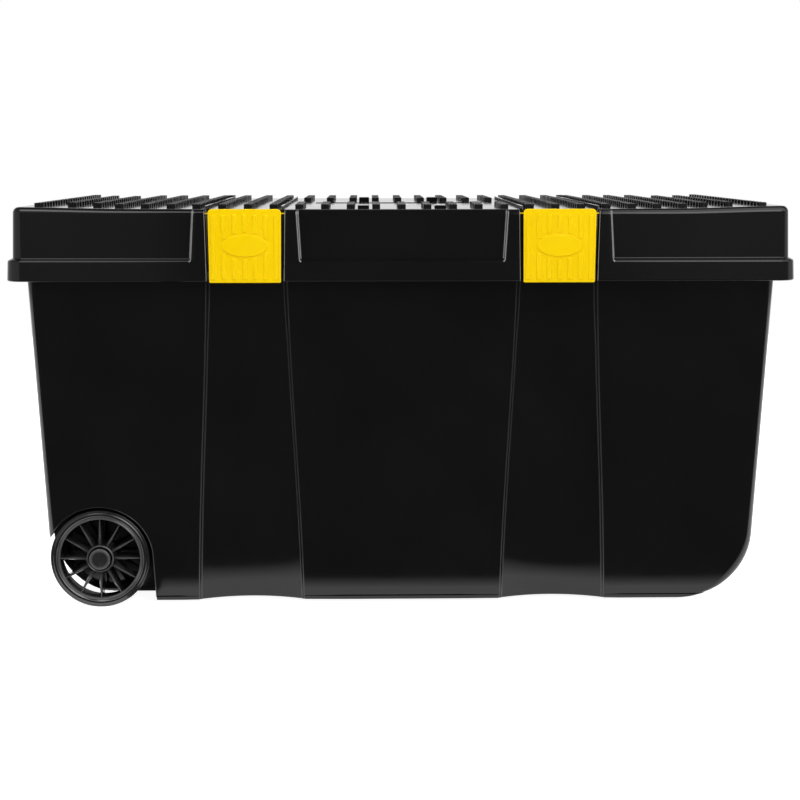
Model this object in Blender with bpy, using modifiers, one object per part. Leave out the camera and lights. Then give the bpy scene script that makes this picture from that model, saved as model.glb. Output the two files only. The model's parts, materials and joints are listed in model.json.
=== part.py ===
"""Rolling trunk: a long moulded tub with a hinged lid, two latches and two wheels.

+X runs along the length and +Y from front to back. The wheels are at the -X end.
The origin is at the middle of the footprint, on the floor.
"""
import math

import bmesh
import bpy
from mathutils import Matrix, Vector

# Running and seating clearances
SEAT_GAP = 0.0003
PIN_GAP = 0.0003
HINGE_SIDE_GAP = 0.0010
SKIRT_GAP = 0.0015
CATCH_GAP = 0.0010
EMBED = 0.001
OVERCUT = 0.02

# Lid rim, the widest part of the trunk
RIM_LENGTH = 0.965
RIM_DEPTH = 0.515
RIM_BOTTOM = 0.4155
RIM_BAND = 0.0235
RIM_CORNER = 0.0215
RIM_EDGE_FILLET = 0.003
SHELF_RISE = 0.004

# Lid above the rim
LID_RISE = 0.065
LID_STEP = 0.0075
LID_DRAFT = 0.035
LID_TOP_FILLET = 0.006
LID_WALL = 0.003

# Tub, which the rim overhangs
END_OVERHANG = 0.0216
SIDE_OVERHANG = 0.020
TUB_DRAFT = 0.0437
TUB_CORNER = 0.016
TUB_WALL = 0.0035
END_RADIUS = 0.082
BASE_FILLET = 0.005
FLANGE_THICKNESS = 0.004
FLOOR_GAP = 0.0078

# Concave columns under the latches
COLUMN_TOP_HALF_WIDTH = 0.0497
COLUMN_BASE_HALF_WIDTH = 0.0670
COLUMN_TOP_DEPTH = 0.004
COLUMN_BASE_DEPTH = 0.015
COLUMN_EDGE_STEP = 0.003
COLUMN_UNDER_FLANGE = 0.0035

# Feet opposite the wheels
FOOT_LENGTH = 0.060
FOOT_WIDTH = 0.030
FOOT_FROM_END = 0.1609
FOOT_FROM_SIDE = 0.0725

# Latches and the bosses that carry them
LATCH_FROM_END = 0.2917
BOSS_TOP_HALF_WIDTH = 0.0630
BOSS_BASE_HALF_WIDTH = 0.0658
RECESS_TOP_HALF_WIDTH = 0.0485
RECESS_BASE_HALF_WIDTH = 0.0468
RECESS_DEPTH = 0.0165
LATCH_TOP_GAP = 0.0009
LATCH_BELOW_RIM = 0.0014
LATCH_SIDE_GAP_TOP = 0.0042
LATCH_SIDE_GAP_BASE = 0.0034
LATCH_PROUD = 0.003
LATCH_RELIEF = 0.0025
LATCH_RELIEF_INSET = 0.0004
LATCH_PLATE = 0.0034
LATCH_TOP_CORNER = 0.005
LATCH_BASE_CORNER = 0.0015
LATCH_FLANGE_MARGIN = 0.006
LATCH_TOP_BAND = 0.0075
LATCH_BASE_BAND = 0.0035
LATCH_BAND_CORNER = 0.001
LATCH_BAR_WIDTH = 0.0054
LATCH_BAR_PITCH = 0.0127
LATCH_BAR_SIDE_MARGIN = 0.004
OVAL_LENGTH = 0.055
OVAL_HEIGHT = 0.0265
OVAL_BELOW_TOP = 0.0442
OVAL_MARGIN = 0.003
TRUNNION_RADIUS = 0.0035
TRUNNION_DEPTH = 0.0035
TRUNNION_BELOW_TOP = 0.0065
TRUNNION_BEHIND_FACE = 0.006
HOOK_HALF_WIDTH = 0.030
HOOK_HEIGHT = 0.0065
HOOK_DROP = 0.0017
CATCH_SETBACK = 0.0085

# Ribs on the lid
RIB_END_MARGIN = 0.025
RIB_PITCH = 0.0315
RIB_WIDTH = 0.0096
RIB_HEIGHT = 0.005
RIB_FRONT_MARGIN = 0.032
RIB_BACK_MARGIN = 0.032
RIB_BREAK_EACH_SIDE = 4
RIB_BREAK_START = 0.105
RIB_BREAK_LENGTH = 0.175
SHORT_RIBS_EACH_SIDE = 2
SHORT_RIB_FRONT_SETBACK = 0.031
SHORT_RIB_BACK_SETBACK = 0.053
LAST_RIB_SHIFT = 0.0035
CLEAT_WIDTH = 0.014
CLEAT_LENGTH = 0.030
CLEAT_FRONT_HEIGHT = 0.004
CLEAT_BACK_HEIGHT = 0.006

# Lid hinge at the back
HINGE_FROM_END = 0.1625
HINGE_BARREL_RADIUS = 0.0075
HINGE_BARREL_PROUD = 0.013
HINGE_BELOW_RIM = 0.001
LID_KNUCKLE_WIDTH = 0.026
TUB_KNUCKLE_WIDTH = 0.012
HINGE_PIN_RADIUS = 0.0025
HINGE_PIN_HEAD_RADIUS = 0.004
HINGE_PIN_HEAD = 0.0015

# Wheels and axle
WHEEL_RADIUS = 0.0625
WHEEL_WIDTH = 0.038
WHEEL_ARCH_GAP = 0.005
WHEEL_FROM_END = 0.0792
WHEEL_SETBACK = 0.016
ARCH_TIP_RISE = 0.029
ARCH_FLARE = 0.0045
WHEEL_WELL_GAP = 0.0045
TYRE_THICKNESS = 0.0062
RIM_RING_THICKNESS = 0.0037
RIM_RING_INSET = 0.001
SPOKE_COUNT = 12
SPOKE_HUB_WIDTH = 0.0052
SPOKE_RIM_WIDTH = 0.0026
SPOKE_INSET = 0.004
HUB_RING_RADIUS = 0.0175
HUB_RING_WALL = 0.0025
HUB_RING_INSET = 0.002
HUB_TUBE_RADIUS = 0.011
HUB_SHORTER = 0.006
HUB_WEB = 0.006
HUB_WEB_FROM_FACE = 0.017
AXLE_RADIUS = 0.006
AXLE_CHANNEL_GAP = 0.002
WASHER_RADIUS = 0.0105
WASHER_THICKNESS = 0.0015
PUSH_NUT_RADIUS = 0.0095
PUSH_NUT_THICKNESS = 0.003
PUSH_NUT_CROWN = 0.0012
AXLE_END_STANDOUT = 0.001
HUB_CAP_WALL = 0.00205
HUB_CAP_HEADROOM = 0.0025
HUB_CAP_DOME = 0.0035

# Facets round curves
CORNER_SEGMENTS = 6
ARCH_SEGMENTS = 18
COLUMN_SEGMENTS = 8
ROUND_SEGMENTS = 20
WHEEL_SEGMENTS = 36
OVAL_SEGMENTS = 24
EASE_KNEE = 0.35
AXIS_MARK_SIZE = 0.05
FILLET_SHARES = (0.0, 0.134, 0.5, 1.0)
END_ARC_SHARES = (0.15, 0.293, 0.5, 0.741, 1.0)

# Places worked out from the sizes above
TOTAL_DEPTH = LATCH_PROUD + RIM_DEPTH + HINGE_BARREL_PROUD
RIM_FRONT = -TOTAL_DEPTH / 2 + LATCH_PROUD
RIM_BACK = RIM_FRONT + RIM_DEPTH
MID_Y = (RIM_FRONT + RIM_BACK) / 2
TUB_LENGTH = RIM_LENGTH - 2 * END_OVERHANG
TUB_DEPTH = RIM_DEPTH - 2 * SIDE_OVERHANG
FOOT_X = TUB_LENGTH / 2 - FOOT_FROM_END
FOOT_Y = TUB_DEPTH / 2 - FOOT_FROM_SIDE
LATCH_X = RIM_LENGTH / 2 - LATCH_FROM_END
HINGE_STATION_X = RIM_LENGTH / 2 - HINGE_FROM_END
RIM_TOP = RIM_BOTTOM + RIM_BAND
LID_TOP = RIM_TOP + LID_RISE
SHELF_UNDERSIDE = RIM_TOP - LID_WALL
FLANGE_TOP = SHELF_UNDERSIDE - SEAT_GAP
FLANGE_UNDERSIDE = FLANGE_TOP - FLANGE_THICKNESS
FLANGE_INSET = LID_WALL + SKIRT_GAP
RECESS_FLOOR = RIM_FRONT + RECESS_DEPTH
CATCH_FRONT = RIM_FRONT + CATCH_SETBACK
RIB_FRONT = RIM_FRONT + RIB_FRONT_MARGIN
RIB_BACK = RIM_BACK - RIB_BACK_MARGIN
RIBS_EACH_SIDE = int((RIM_LENGTH / 2 - RIB_END_MARGIN) / RIB_PITCH)
HINGE_Y = RIM_BACK + HINGE_BARREL_PROUD - HINGE_BARREL_RADIUS
HINGE_Z = RIM_BOTTOM - HINGE_BELOW_RIM - HINGE_BARREL_RADIUS
ARCH_RADIUS = WHEEL_RADIUS + WHEEL_ARCH_GAP
AXLE_Z = WHEEL_RADIUS
AXLE_HOLE = AXLE_RADIUS + PIN_GAP
WHEEL_X = WHEEL_FROM_END - TUB_LENGTH / 2
WELL_HALF_SPACING = TUB_DEPTH / 2 - WHEEL_WELL_GAP - WHEEL_WIDTH - WHEEL_SETBACK
HUB_LENGTH = WHEEL_WIDTH - HUB_SHORTER
TRUNNION_Y = RIM_FRONT + TRUNNION_BEHIND_FACE
TRUNNION_Z = LID_TOP - TRUNNION_BELOW_TOP
HUB_START = SEAT_GAP + WASHER_THICKNESS + SEAT_GAP
HUB_END = HUB_START + HUB_LENGTH
OUTER_WASHER_START = HUB_END + SEAT_GAP
PUSH_NUT_START = OUTER_WASHER_START + WASHER_THICKNESS + SEAT_GAP
AXLE_END = PUSH_NUT_START + PUSH_NUT_THICKNESS + AXLE_END_STANDOUT
WHEEL_START = WHEEL_WELL_GAP
WHEEL_END = WHEEL_WELL_GAP + WHEEL_WIDTH
HUB_WEB_END = WHEEL_END - HUB_WEB_FROM_FACE
HUB_CAP_INNER = HUB_TUBE_RADIUS + PIN_GAP
HUB_CAP_TOP = AXLE_END + HUB_CAP_HEADROOM + HUB_CAP_DOME
RIM_RING_RADIUS = WHEEL_RADIUS - TYRE_THICKNESS - SEAT_GAP

BLACK = (0.012, 0.012, 0.013, 1.0)
YELLOW = (0.94, 0.66, 0.004, 1.0)
STEEL = (0.55, 0.56, 0.58, 1.0)
RUBBER = (0.020, 0.020, 0.021, 1.0)


def clear_scene():
    """Remove whatever the file holds."""
    for old in list(bpy.data.objects):
        bpy.data.objects.remove(old, do_unlink=True)


def new_collection(name):
    collection = bpy.data.collections.new(name)
    bpy.context.scene.collection.children.link(collection)
    return collection


def plastic(name, colour, roughness, metallic=0.0):
    """A Principled material with one colour, roughness and metallic value."""
    material = bpy.data.materials.new(name)
    material.use_nodes = True
    shader = material.node_tree.nodes["Principled BSDF"]
    shader.inputs["Base Color"].default_value = colour
    shader.inputs["Roughness"].default_value = roughness
    shader.inputs["Metallic"].default_value = metallic
    material.diffuse_color = colour
    return material


def make_object(name, mesh, collection, material=None):
    obj = bpy.data.objects.new(name, mesh)
    collection.objects.link(obj)
    if material:
        mesh.materials.append(material)
    return obj


def mesh_from(bm, name):
    """Turn a bmesh into a mesh whose faces point out."""
    bmesh.ops.recalc_face_normals(bm, faces=bm.faces)
    mesh = bpy.data.meshes.new(name)
    bm.to_mesh(mesh)
    bm.free()
    return mesh


def add_loft(bm, rings):
    """Skin a stack of rings that have equal counts, and close both ends."""
    loops = [[bm.verts.new(point) for point in ring] for ring in rings]
    for lower, upper in zip(loops, loops[1:]):
        for i in range(len(lower)):
            j = (i + 1) % len(lower)
            bm.faces.new((lower[i], lower[j], upper[j], upper[i]))
    bm.faces.new(list(reversed(loops[0])))
    bm.faces.new(loops[-1])


def loft_mesh(name, stacks):
    """One mesh that holds a loft for each stack of rings."""
    bm = bmesh.new()
    for rings in stacks:
        add_loft(bm, rings)
    return mesh_from(bm, name)


def rounded_ring(half_x, half_y, radius, z):
    """A rounded rectangle about the trunk's middle, at height z."""
    points = []
    corners = ((1, 1, 0), (-1, 1, 90), (-1, -1, 180), (1, -1, 270))
    for sign_x, sign_y, start in corners:
        for step in range(CORNER_SEGMENTS + 1):
            angle = math.radians(start + 90 * step / CORNER_SEGMENTS)
            x = sign_x * (half_x - radius) + radius * math.cos(angle)
            y = MID_Y + sign_y * (half_y - radius) + radius * math.sin(angle)
            points.append((x, y, z))
    return points


def outline_plate(name, outline, thickness):
    """A flat outline in XY, filled and thickened about z = 0."""
    curve = bpy.data.curves.new(name, "CURVE")
    curve.dimensions = "2D"
    curve.fill_mode = "BOTH"
    curve.extrude = thickness / 2
    spline = curve.splines.new("POLY")
    spline.points.add(len(outline) - 1)
    for point, (x, y) in zip(spline.points, outline):
        point.co = (x, y, 0, 1)
    spline.use_cyclic_u = True
    guide = bpy.data.objects.new(name, curve)
    bpy.context.scene.collection.objects.link(guide)
    evaluated = guide.evaluated_get(bpy.context.evaluated_depsgraph_get())
    mesh = bpy.data.meshes.new_from_object(evaluated)
    bpy.data.objects.remove(guide)
    bpy.data.curves.remove(curve)
    bm = bmesh.new()
    bm.from_mesh(mesh)
    bmesh.ops.remove_doubles(bm, verts=bm.verts, dist=0.00001)
    bmesh.ops.recalc_face_normals(bm, faces=bm.faces)
    bm.to_mesh(mesh)
    bm.free()
    mesh.name = name
    return mesh


def upright_plate(name, outline, start, end):
    """An outline in XZ, thickened along Y from start to end."""
    mesh = outline_plate(name, outline, end - start)
    turn = Matrix.Rotation(math.radians(90), 4, "X")
    mesh.transform(Matrix.Translation((0, (start + end) / 2, 0)) @ turn)
    return mesh


def side_plate(name, outline, start, end):
    """An outline in YZ, thickened along X from start to end."""
    mesh = outline_plate(name, outline, end - start)
    turn = Matrix(((0, 0, 1, 0), (1, 0, 0, 0), (0, 1, 0, 0), (0, 0, 0, 1)))
    mesh.transform(Matrix.Translation(((start + end) / 2, 0, 0)) @ turn)
    return mesh


def box_mesh(name, boxes):
    """One mesh that holds a box for each pair of corners."""
    bm = bmesh.new()
    for low, high in boxes:
        size = [b - a for a, b in zip(low, high)]
        middle = [(a + b) / 2 for a, b in zip(low, high)]
        matrix = Matrix.Translation(middle) @ Matrix.Diagonal((*size, 1))
        bmesh.ops.create_cube(bm, size=1, matrix=matrix)
    return mesh_from(bm, name)


def rod_mesh(name, radius, start, end, axis, segments=ROUND_SEGMENTS):
    """A cylinder between two points that lie along X or Y."""
    bm = bmesh.new()
    turn = Matrix.Rotation(math.radians(90), 4, "Y" if axis == "X" else "X")
    middle = (Vector(start) + Vector(end)) / 2
    length = (Vector(end) - Vector(start)).length
    bmesh.ops.create_cone(bm, cap_ends=True, segments=segments, radius1=radius,
                          radius2=radius, depth=length,
                          matrix=Matrix.Translation(middle) @ turn)
    return mesh_from(bm, name)


def joined_mesh(name, meshes):
    """Put the shells of several meshes into one, without joining them."""
    bm = bmesh.new()
    for mesh in meshes:
        bm.from_mesh(mesh)
        bpy.data.meshes.remove(mesh)
    return mesh_from(bm, name)


def turned(name, profile, place, axis, segments, collection, material=None, closed=True):
    """Turn a profile of (radius, distance) points about X or Y with a Screw."""
    mesh = bpy.data.meshes.new(name)
    points = [(radius, 0, distance) for radius, distance in profile]
    edges = [(i, i + 1) for i in range(len(points) - 1)]
    if closed:
        edges.append((len(points) - 1, 0))
    mesh.from_pydata(points, edges, [])
    obj = make_object(name, mesh, collection, material)
    screw = obj.modifiers.new("turn", "SCREW")
    screw.steps = segments
    screw.render_steps = segments
    screw.use_merge_vertices = True
    screw.merge_threshold = 0.00001
    obj.location = place
    if axis == "X":
        obj.rotation_euler = (0, math.radians(90), 0)
    elif axis == "-Y":
        obj.rotation_euler = (math.radians(90), 0, 0)
    else:
        obj.rotation_euler = (math.radians(-90), 0, 0)
    return obj


def hide_cutter(obj):
    obj.hide_render = True
    obj.display_type = "WIRE"
    return obj


def cutter(name, mesh):
    return hide_cutter(make_object(name, mesh, CUTTERS))


def combine(obj, other, operation):
    """Add a Boolean modifier that joins or cuts with another object."""
    modifier = obj.modifiers.new(other.name, "BOOLEAN")
    modifier.operation = operation
    modifier.solver = "EXACT"
    modifier.object = other


def move_origin(obj, origin):
    """Put the object's origin on its joint axis and leave its shape in place."""
    obj.data.transform(Matrix.Translation(-Vector(origin)))
    obj.location = origin


def fillet_inset(height, radius):
    """How far a quarter-round stands in from its side at a height above its foot."""
    if height >= radius:
        return 0.0
    return radius - math.sqrt(max(0.0, radius ** 2 - (radius - height) ** 2))


def tub_half_sizes(z, inset):
    """Half length and half depth of the tub at a height, inset from its outside."""
    lean = TUB_DRAFT * (RIM_BOTTOM - z)
    rise = z - FLOOR_GAP - inset
    half_x = TUB_LENGTH / 2 - lean - inset - fillet_inset(rise, END_RADIUS - inset)
    half_y = TUB_DEPTH / 2 - lean - inset - fillet_inset(rise, BASE_FILLET - inset)
    return half_x, half_y


def tub_heights(inset):
    """Heights of the tub's sections, close together round the bottom fillets."""
    base = FLOOR_GAP + inset
    small = [base + share * (BASE_FILLET - inset) for share in FILLET_SHARES]
    large = [base + share * (END_RADIUS - inset) for share in END_ARC_SHARES]
    return sorted(small + large)


def tub_rings(inset, top):
    rings = []
    for z in tub_heights(inset) + [top]:
        half_x, half_y = tub_half_sizes(z, inset)
        rings.append(rounded_ring(half_x, half_y, TUB_CORNER - inset, z))
    return rings


def column_stack(centre_x, side, grow):
    """Sections of one concave column, grown by a wall where grow is set."""
    rings = []
    top = FLANGE_UNDERSIDE - COLUMN_UNDER_FLANGE + grow
    height = top - FLOOR_GAP
    for share in (-0.05, 0.0, 0.06, 0.25, 0.45, 0.65, 0.85, 1.0):
        z = FLOOR_GAP + share * height
        level = max(0.0, min(1.0, share))
        spread = 0.5 + 0.5 * math.cos(math.pi * level)
        width = COLUMN_TOP_HALF_WIDTH + spread * (COLUMN_BASE_HALF_WIDTH - COLUMN_TOP_HALF_WIDTH)
        depth = COLUMN_TOP_DEPTH + (1 - level) * (COLUMN_BASE_DEPTH - COLUMN_TOP_DEPTH)
        face = TUB_DEPTH / 2 - TUB_DRAFT * (RIM_BOTTOM - z)
        half = width + grow
        ring = [(centre_x - half, face + OVERCUT), (centre_x + half, face + OVERCUT)]
        for step in range(COLUMN_SEGMENTS + 1):
            across = 1 - 2 * step / COLUMN_SEGMENTS
            sink = COLUMN_EDGE_STEP + grow + depth * (1 - across ** 2)
            ring.append((centre_x + across * half, face - sink))
        rings.append([(x, MID_Y + side * y, z) for x, y in ring])
    return rings


def columns_mesh(name, grow):
    stacks = []
    for centre_x in (-LATCH_X, LATCH_X):
        for side in (-1, 1):
            stacks.append(column_stack(centre_x, side, grow))
    return loft_mesh(name, stacks)


def well_outline(grow):
    """Side view of a wheel well: an arch, open below and at the trunk's end."""
    radius = ARCH_RADIUS + grow
    tip_rise = ARCH_TIP_RISE + grow
    far_end = -TUB_LENGTH / 2 - OVERCUT
    start = math.pi - math.asin(tip_rise / radius)
    outline = [(far_end, -OVERCUT), (far_end, AXLE_Z + tip_rise)]
    for step in range(ARCH_SEGMENTS + 1):
        angle = start * (1 - step / ARCH_SEGMENTS)
        outline.append((WHEEL_X + radius * math.cos(angle), AXLE_Z + radius * math.sin(angle)))
    outline.append((WHEEL_X + radius + ARCH_FLARE, -OVERCUT))
    return outline


def wells_mesh(name, grow):
    """Both wheel wells, cut in from the front and from the back."""
    outer = TUB_DEPTH / 2 + OVERCUT
    inner = WELL_HALF_SPACING - grow
    front = upright_plate(name, well_outline(grow), MID_Y - outer, MID_Y - inner)
    back = upright_plate(name, well_outline(grow), MID_Y + inner, MID_Y + outer)
    return joined_mesh(name, (front, back))


def channel_mesh(name, grow, half_length):
    """The channel under the tub that holds the axle between the wells."""
    half_width = AXLE_RADIUS + AXLE_CHANNEL_GAP + grow
    low = (WHEEL_X - half_width, MID_Y - half_length, -OVERCUT)
    high = (WHEEL_X + half_width, MID_Y + half_length, AXLE_Z + half_width)
    return box_mesh(name, [(low, high)])


def tub_knuckles_mesh(name):
    """The tub's half of the hinge: two eyes on arms at each station."""
    bottom = HINGE_Z - HINGE_BARREL_RADIUS
    root = MID_Y + tub_half_sizes(bottom, TUB_WALL / 2)[1] - EMBED
    outline = [(root, bottom)]
    for step in range(ROUND_SEGMENTS // 2 + 1):
        angle = math.radians(-90 + 180 * step / (ROUND_SEGMENTS // 2))
        outline.append((HINGE_Y + HINGE_BARREL_RADIUS * math.cos(angle),
                        HINGE_Z + HINGE_BARREL_RADIUS * math.sin(angle)))
    outline.append((root, HINGE_Z + HINGE_BARREL_RADIUS))
    inner = LID_KNUCKLE_WIDTH / 2 + HINGE_SIDE_GAP
    plates = []
    for station in (-HINGE_STATION_X, 0.0, HINGE_STATION_X):
        plates.append(side_plate(name, outline, station + inner,
                                 station + inner + TUB_KNUCKLE_WIDTH))
        plates.append(side_plate(name, outline, station - inner - TUB_KNUCKLE_WIDTH,
                                 station - inner))
    return joined_mesh(name, plates)


def hinge_holes_mesh(name):
    """Pin holes through all the knuckles."""
    reach = LID_KNUCKLE_WIDTH / 2 + TUB_KNUCKLE_WIDTH + OVERCUT
    rods = []
    for station in (-HINGE_STATION_X, 0.0, HINGE_STATION_X):
        rods.append(rod_mesh(name, HINGE_PIN_RADIUS + PIN_GAP,
                             (station - reach, HINGE_Y, HINGE_Z),
                             (station + reach, HINGE_Y, HINGE_Z), "X"))
    return joined_mesh(name, rods)


def feet_mesh(name):
    boxes = []
    for side in (-1, 1):
        low = (FOOT_X - FOOT_LENGTH / 2, MID_Y + side * FOOT_Y - FOOT_WIDTH / 2, 0)
        high = (FOOT_X + FOOT_LENGTH / 2, MID_Y + side * FOOT_Y + FOOT_WIDTH / 2,
                FLOOR_GAP + TUB_WALL - EMBED)
        boxes.append((low, high))
    return box_mesh(name, boxes)


def make_tub():
    """Moulded tub with wheel wells, columns, flange, feet and hinge knuckles."""
    rings = tub_rings(0.0, FLANGE_UNDERSIDE)
    flange_x = RIM_LENGTH / 2 - FLANGE_INSET
    flange_y = RIM_DEPTH / 2 - FLANGE_INSET
    for z in (FLANGE_UNDERSIDE, FLANGE_TOP):
        rings.append(rounded_ring(flange_x, flange_y, RIM_CORNER - FLANGE_INSET, z))
    tub = make_object("tub", loft_mesh("tub", [rings]), PARTS, BLACK_TUB)

    cavity = cutter("tub_cavity", loft_mesh("tub_cavity", [tub_rings(TUB_WALL, LID_TOP)]))
    for name, mesh in (
            ("well_walls", wells_mesh("well_walls", TUB_WALL)),
            ("column_walls", columns_mesh("column_walls", TUB_WALL)),
            ("channel_walls", channel_mesh("channel_walls", TUB_WALL, WELL_HALF_SPACING))):
        combine(cavity, cutter(name, mesh), "DIFFERENCE")

    reach = WELL_HALF_SPACING + OVERCUT
    axle_hole = rod_mesh("axle_hole", AXLE_HOLE, (WHEEL_X, MID_Y - reach, AXLE_Z),
                         (WHEEL_X, MID_Y + reach, AXLE_Z), "Y")
    catches = []
    for centre_x in (-LATCH_X, LATCH_X):
        half = RECESS_BASE_HALF_WIDTH
        catches.append(((centre_x - half, RIM_FRONT - OVERCUT, FLANGE_UNDERSIDE - EMBED),
                        (centre_x + half, CATCH_FRONT, FLANGE_TOP + OVERCUT)))
    combine(tub, cutter("wells", wells_mesh("wells", 0.0)), "DIFFERENCE")
    combine(tub, cutter("columns", columns_mesh("columns", 0.0)), "DIFFERENCE")
    combine(tub, cutter("axle_channel", channel_mesh("axle_channel", 0.0,
                                                     WELL_HALF_SPACING - TUB_WALL)), "DIFFERENCE")
    combine(tub, cavity, "DIFFERENCE")
    combine(tub, cutter("axle_hole", axle_hole), "DIFFERENCE")
    combine(tub, cutter("catch_notches", box_mesh("catch_notches", catches)), "DIFFERENCE")
    combine(tub, cutter("feet", feet_mesh("feet")), "UNION")
    combine(tub, cutter("tub_knuckles", tub_knuckles_mesh("tub_knuckles")), "UNION")
    combine(tub, cutter("tub_hinge_holes", hinge_holes_mesh("tub_hinge_holes")), "DIFFERENCE")
    return tub


def lid_outer_rings():
    """Sections of the lid's outside, from the rim's foot to the top."""
    half_x = RIM_LENGTH / 2
    half_y = RIM_DEPTH / 2
    lean = LID_DRAFT * (LID_RISE - LID_TOP_FILLET)
    insets = [(0.0, RIM_BOTTOM), (0.0, RIM_TOP - RIM_EDGE_FILLET),
              (0.3 * RIM_EDGE_FILLET, RIM_TOP - 0.3 * RIM_EDGE_FILLET),
              (RIM_EDGE_FILLET, RIM_TOP), (LID_STEP, RIM_TOP + SHELF_RISE)]
    for share in FILLET_SHARES[::-1]:
        inward = fillet_inset(share * LID_TOP_FILLET, LID_TOP_FILLET)
        insets.append((LID_STEP + lean + inward, LID_TOP - share * LID_TOP_FILLET))
    return [rounded_ring(half_x - inset, half_y - inset, RIM_CORNER - inset, z)
            for inset, z in insets]


def lid_cavity_rings():
    half_x = RIM_LENGTH / 2
    half_y = RIM_DEPTH / 2
    step = LID_STEP + LID_WALL
    lean = LID_DRAFT * LID_RISE
    insets = [(LID_WALL, RIM_BOTTOM - OVERCUT), (LID_WALL, SHELF_UNDERSIDE),
              (step, SHELF_UNDERSIDE), (step + lean, LID_TOP - LID_WALL)]
    return [rounded_ring(half_x - inset, half_y - inset, RIM_CORNER - inset, z)
            for inset, z in insets]


def tapered_block(centre_x, low_half, high_half, low_z, high_z, front, back, ease):
    """Sections of a block on the lid's front; its top front edge is eased."""
    knee = EASE_KNEE * ease
    rings = []
    for half, y, z in ((low_half, front, low_z), (high_half, front, high_z - ease),
                       (high_half, front + knee, high_z - knee),
                       (high_half, front + ease, high_z)):
        rings.append([(centre_x - half, y, z), (centre_x + half, y, z),
                      (centre_x + half, back, z), (centre_x - half, back, z)])
    return rings


def bosses_mesh(name):
    stacks = []
    for centre_x in (-LATCH_X, LATCH_X):
        stacks.append(tapered_block(centre_x, BOSS_BASE_HALF_WIDTH, BOSS_TOP_HALF_WIDTH,
                                    RIM_TOP - RIM_EDGE_FILLET - EMBED, LID_TOP - SEAT_GAP,
                                    RIM_FRONT + SEAT_GAP, RECESS_FLOOR + LID_WALL + EMBED,
                                    LID_TOP_FILLET))
    return loft_mesh(name, stacks)


def recess_stack(centre_x, grow, low_z):
    """Sections of the recess that holds a latch, tapered with the latch."""
    top_z = LID_TOP + OVERCUT
    slope = (RECESS_TOP_HALF_WIDTH - RECESS_BASE_HALF_WIDTH) / (LID_TOP - RIM_BOTTOM)
    rings = []
    for z in (low_z, top_z):
        half = RECESS_BASE_HALF_WIDTH + slope * (z - RIM_BOTTOM) + grow
        front = RIM_FRONT - OVERCUT
        back = RECESS_FLOOR + grow
        rings.append([(centre_x - half, front, z), (centre_x + half, front, z),
                      (centre_x + half, back, z), (centre_x - half, back, z)])
    return rings


def recesses_mesh(name, grow, low_z):
    return loft_mesh(name, [recess_stack(x, grow, low_z) for x in (-LATCH_X, LATCH_X)])


def rib_boxes():
    """Front and back ends of every rib and cleat on the lid."""
    boxes = []
    break_start = RIB_FRONT + RIB_BREAK_START
    break_end = break_start + RIB_BREAK_LENGTH
    bottom = LID_TOP - EMBED
    for index in range(-RIBS_EACH_SIDE, RIBS_EACH_SIDE + 1):
        x = index * RIB_PITCH
        from_last = RIBS_EACH_SIDE - abs(index)
        if abs(index) <= RIB_BREAK_EACH_SIDE:
            spans = ((RIB_FRONT, break_start), (break_end, RIB_BACK))
        elif 0 < from_last <= SHORT_RIBS_EACH_SIDE:
            spans = ((RIB_FRONT + SHORT_RIB_FRONT_SETBACK, RIB_BACK - SHORT_RIB_BACK_SETBACK),)
        else:
            spans = ((RIB_FRONT, RIB_BACK),)
        if from_last == 0:
            x += math.copysign(LAST_RIB_SHIFT, x)
        for start, end in spans:
            boxes.append(((x - RIB_WIDTH / 2, start, bottom),
                          (x + RIB_WIDTH / 2, end, LID_TOP + RIB_HEIGHT)))
    for side in (-1, 1):
        x = side * 1.5 * RIB_PITCH
        for start, height in ((RIB_FRONT, CLEAT_FRONT_HEIGHT), (break_end, CLEAT_BACK_HEIGHT)):
            boxes.append(((x - CLEAT_WIDTH / 2, start, bottom),
                          (x + CLEAT_WIDTH / 2, start + CLEAT_LENGTH, LID_TOP + height)))
    return boxes


def lid_knuckles_mesh(name):
    """The lid's half of the hinge: one eye on an arm at each station."""
    root = RIM_BACK - LID_WALL / 2
    top = RIM_TOP - RIM_EDGE_FILLET - EMBED
    outline = [(root, top)]
    for step in range(ROUND_SEGMENTS // 2 + 1):
        angle = math.radians(-180 + 180 * step / (ROUND_SEGMENTS // 2))
        outline.append((HINGE_Y + HINGE_BARREL_RADIUS * math.cos(angle),
                        HINGE_Z + HINGE_BARREL_RADIUS * math.sin(angle)))
    outline.append((HINGE_Y + HINGE_BARREL_RADIUS, top - HINGE_BARREL_PROUD / 2))
    outline.append((RIM_BACK + EMBED, top))
    plates = []
    for station in (-HINGE_STATION_X, 0.0, HINGE_STATION_X):
        plates.append(side_plate(name, outline, station - LID_KNUCKLE_WIDTH / 2,
                                 station + LID_KNUCKLE_WIDTH / 2))
    return joined_mesh(name, plates)


def trunnion_holes_mesh(name):
    reach = RECESS_TOP_HALF_WIDTH + TRUNNION_DEPTH + SEAT_GAP
    rods = []
    for centre_x in (-LATCH_X, LATCH_X):
        rods.append(rod_mesh(name, TRUNNION_RADIUS + PIN_GAP,
                             (centre_x - reach, TRUNNION_Y, TRUNNION_Z),
                             (centre_x + reach, TRUNNION_Y, TRUNNION_Z), "X"))
    return joined_mesh(name, rods)


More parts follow.
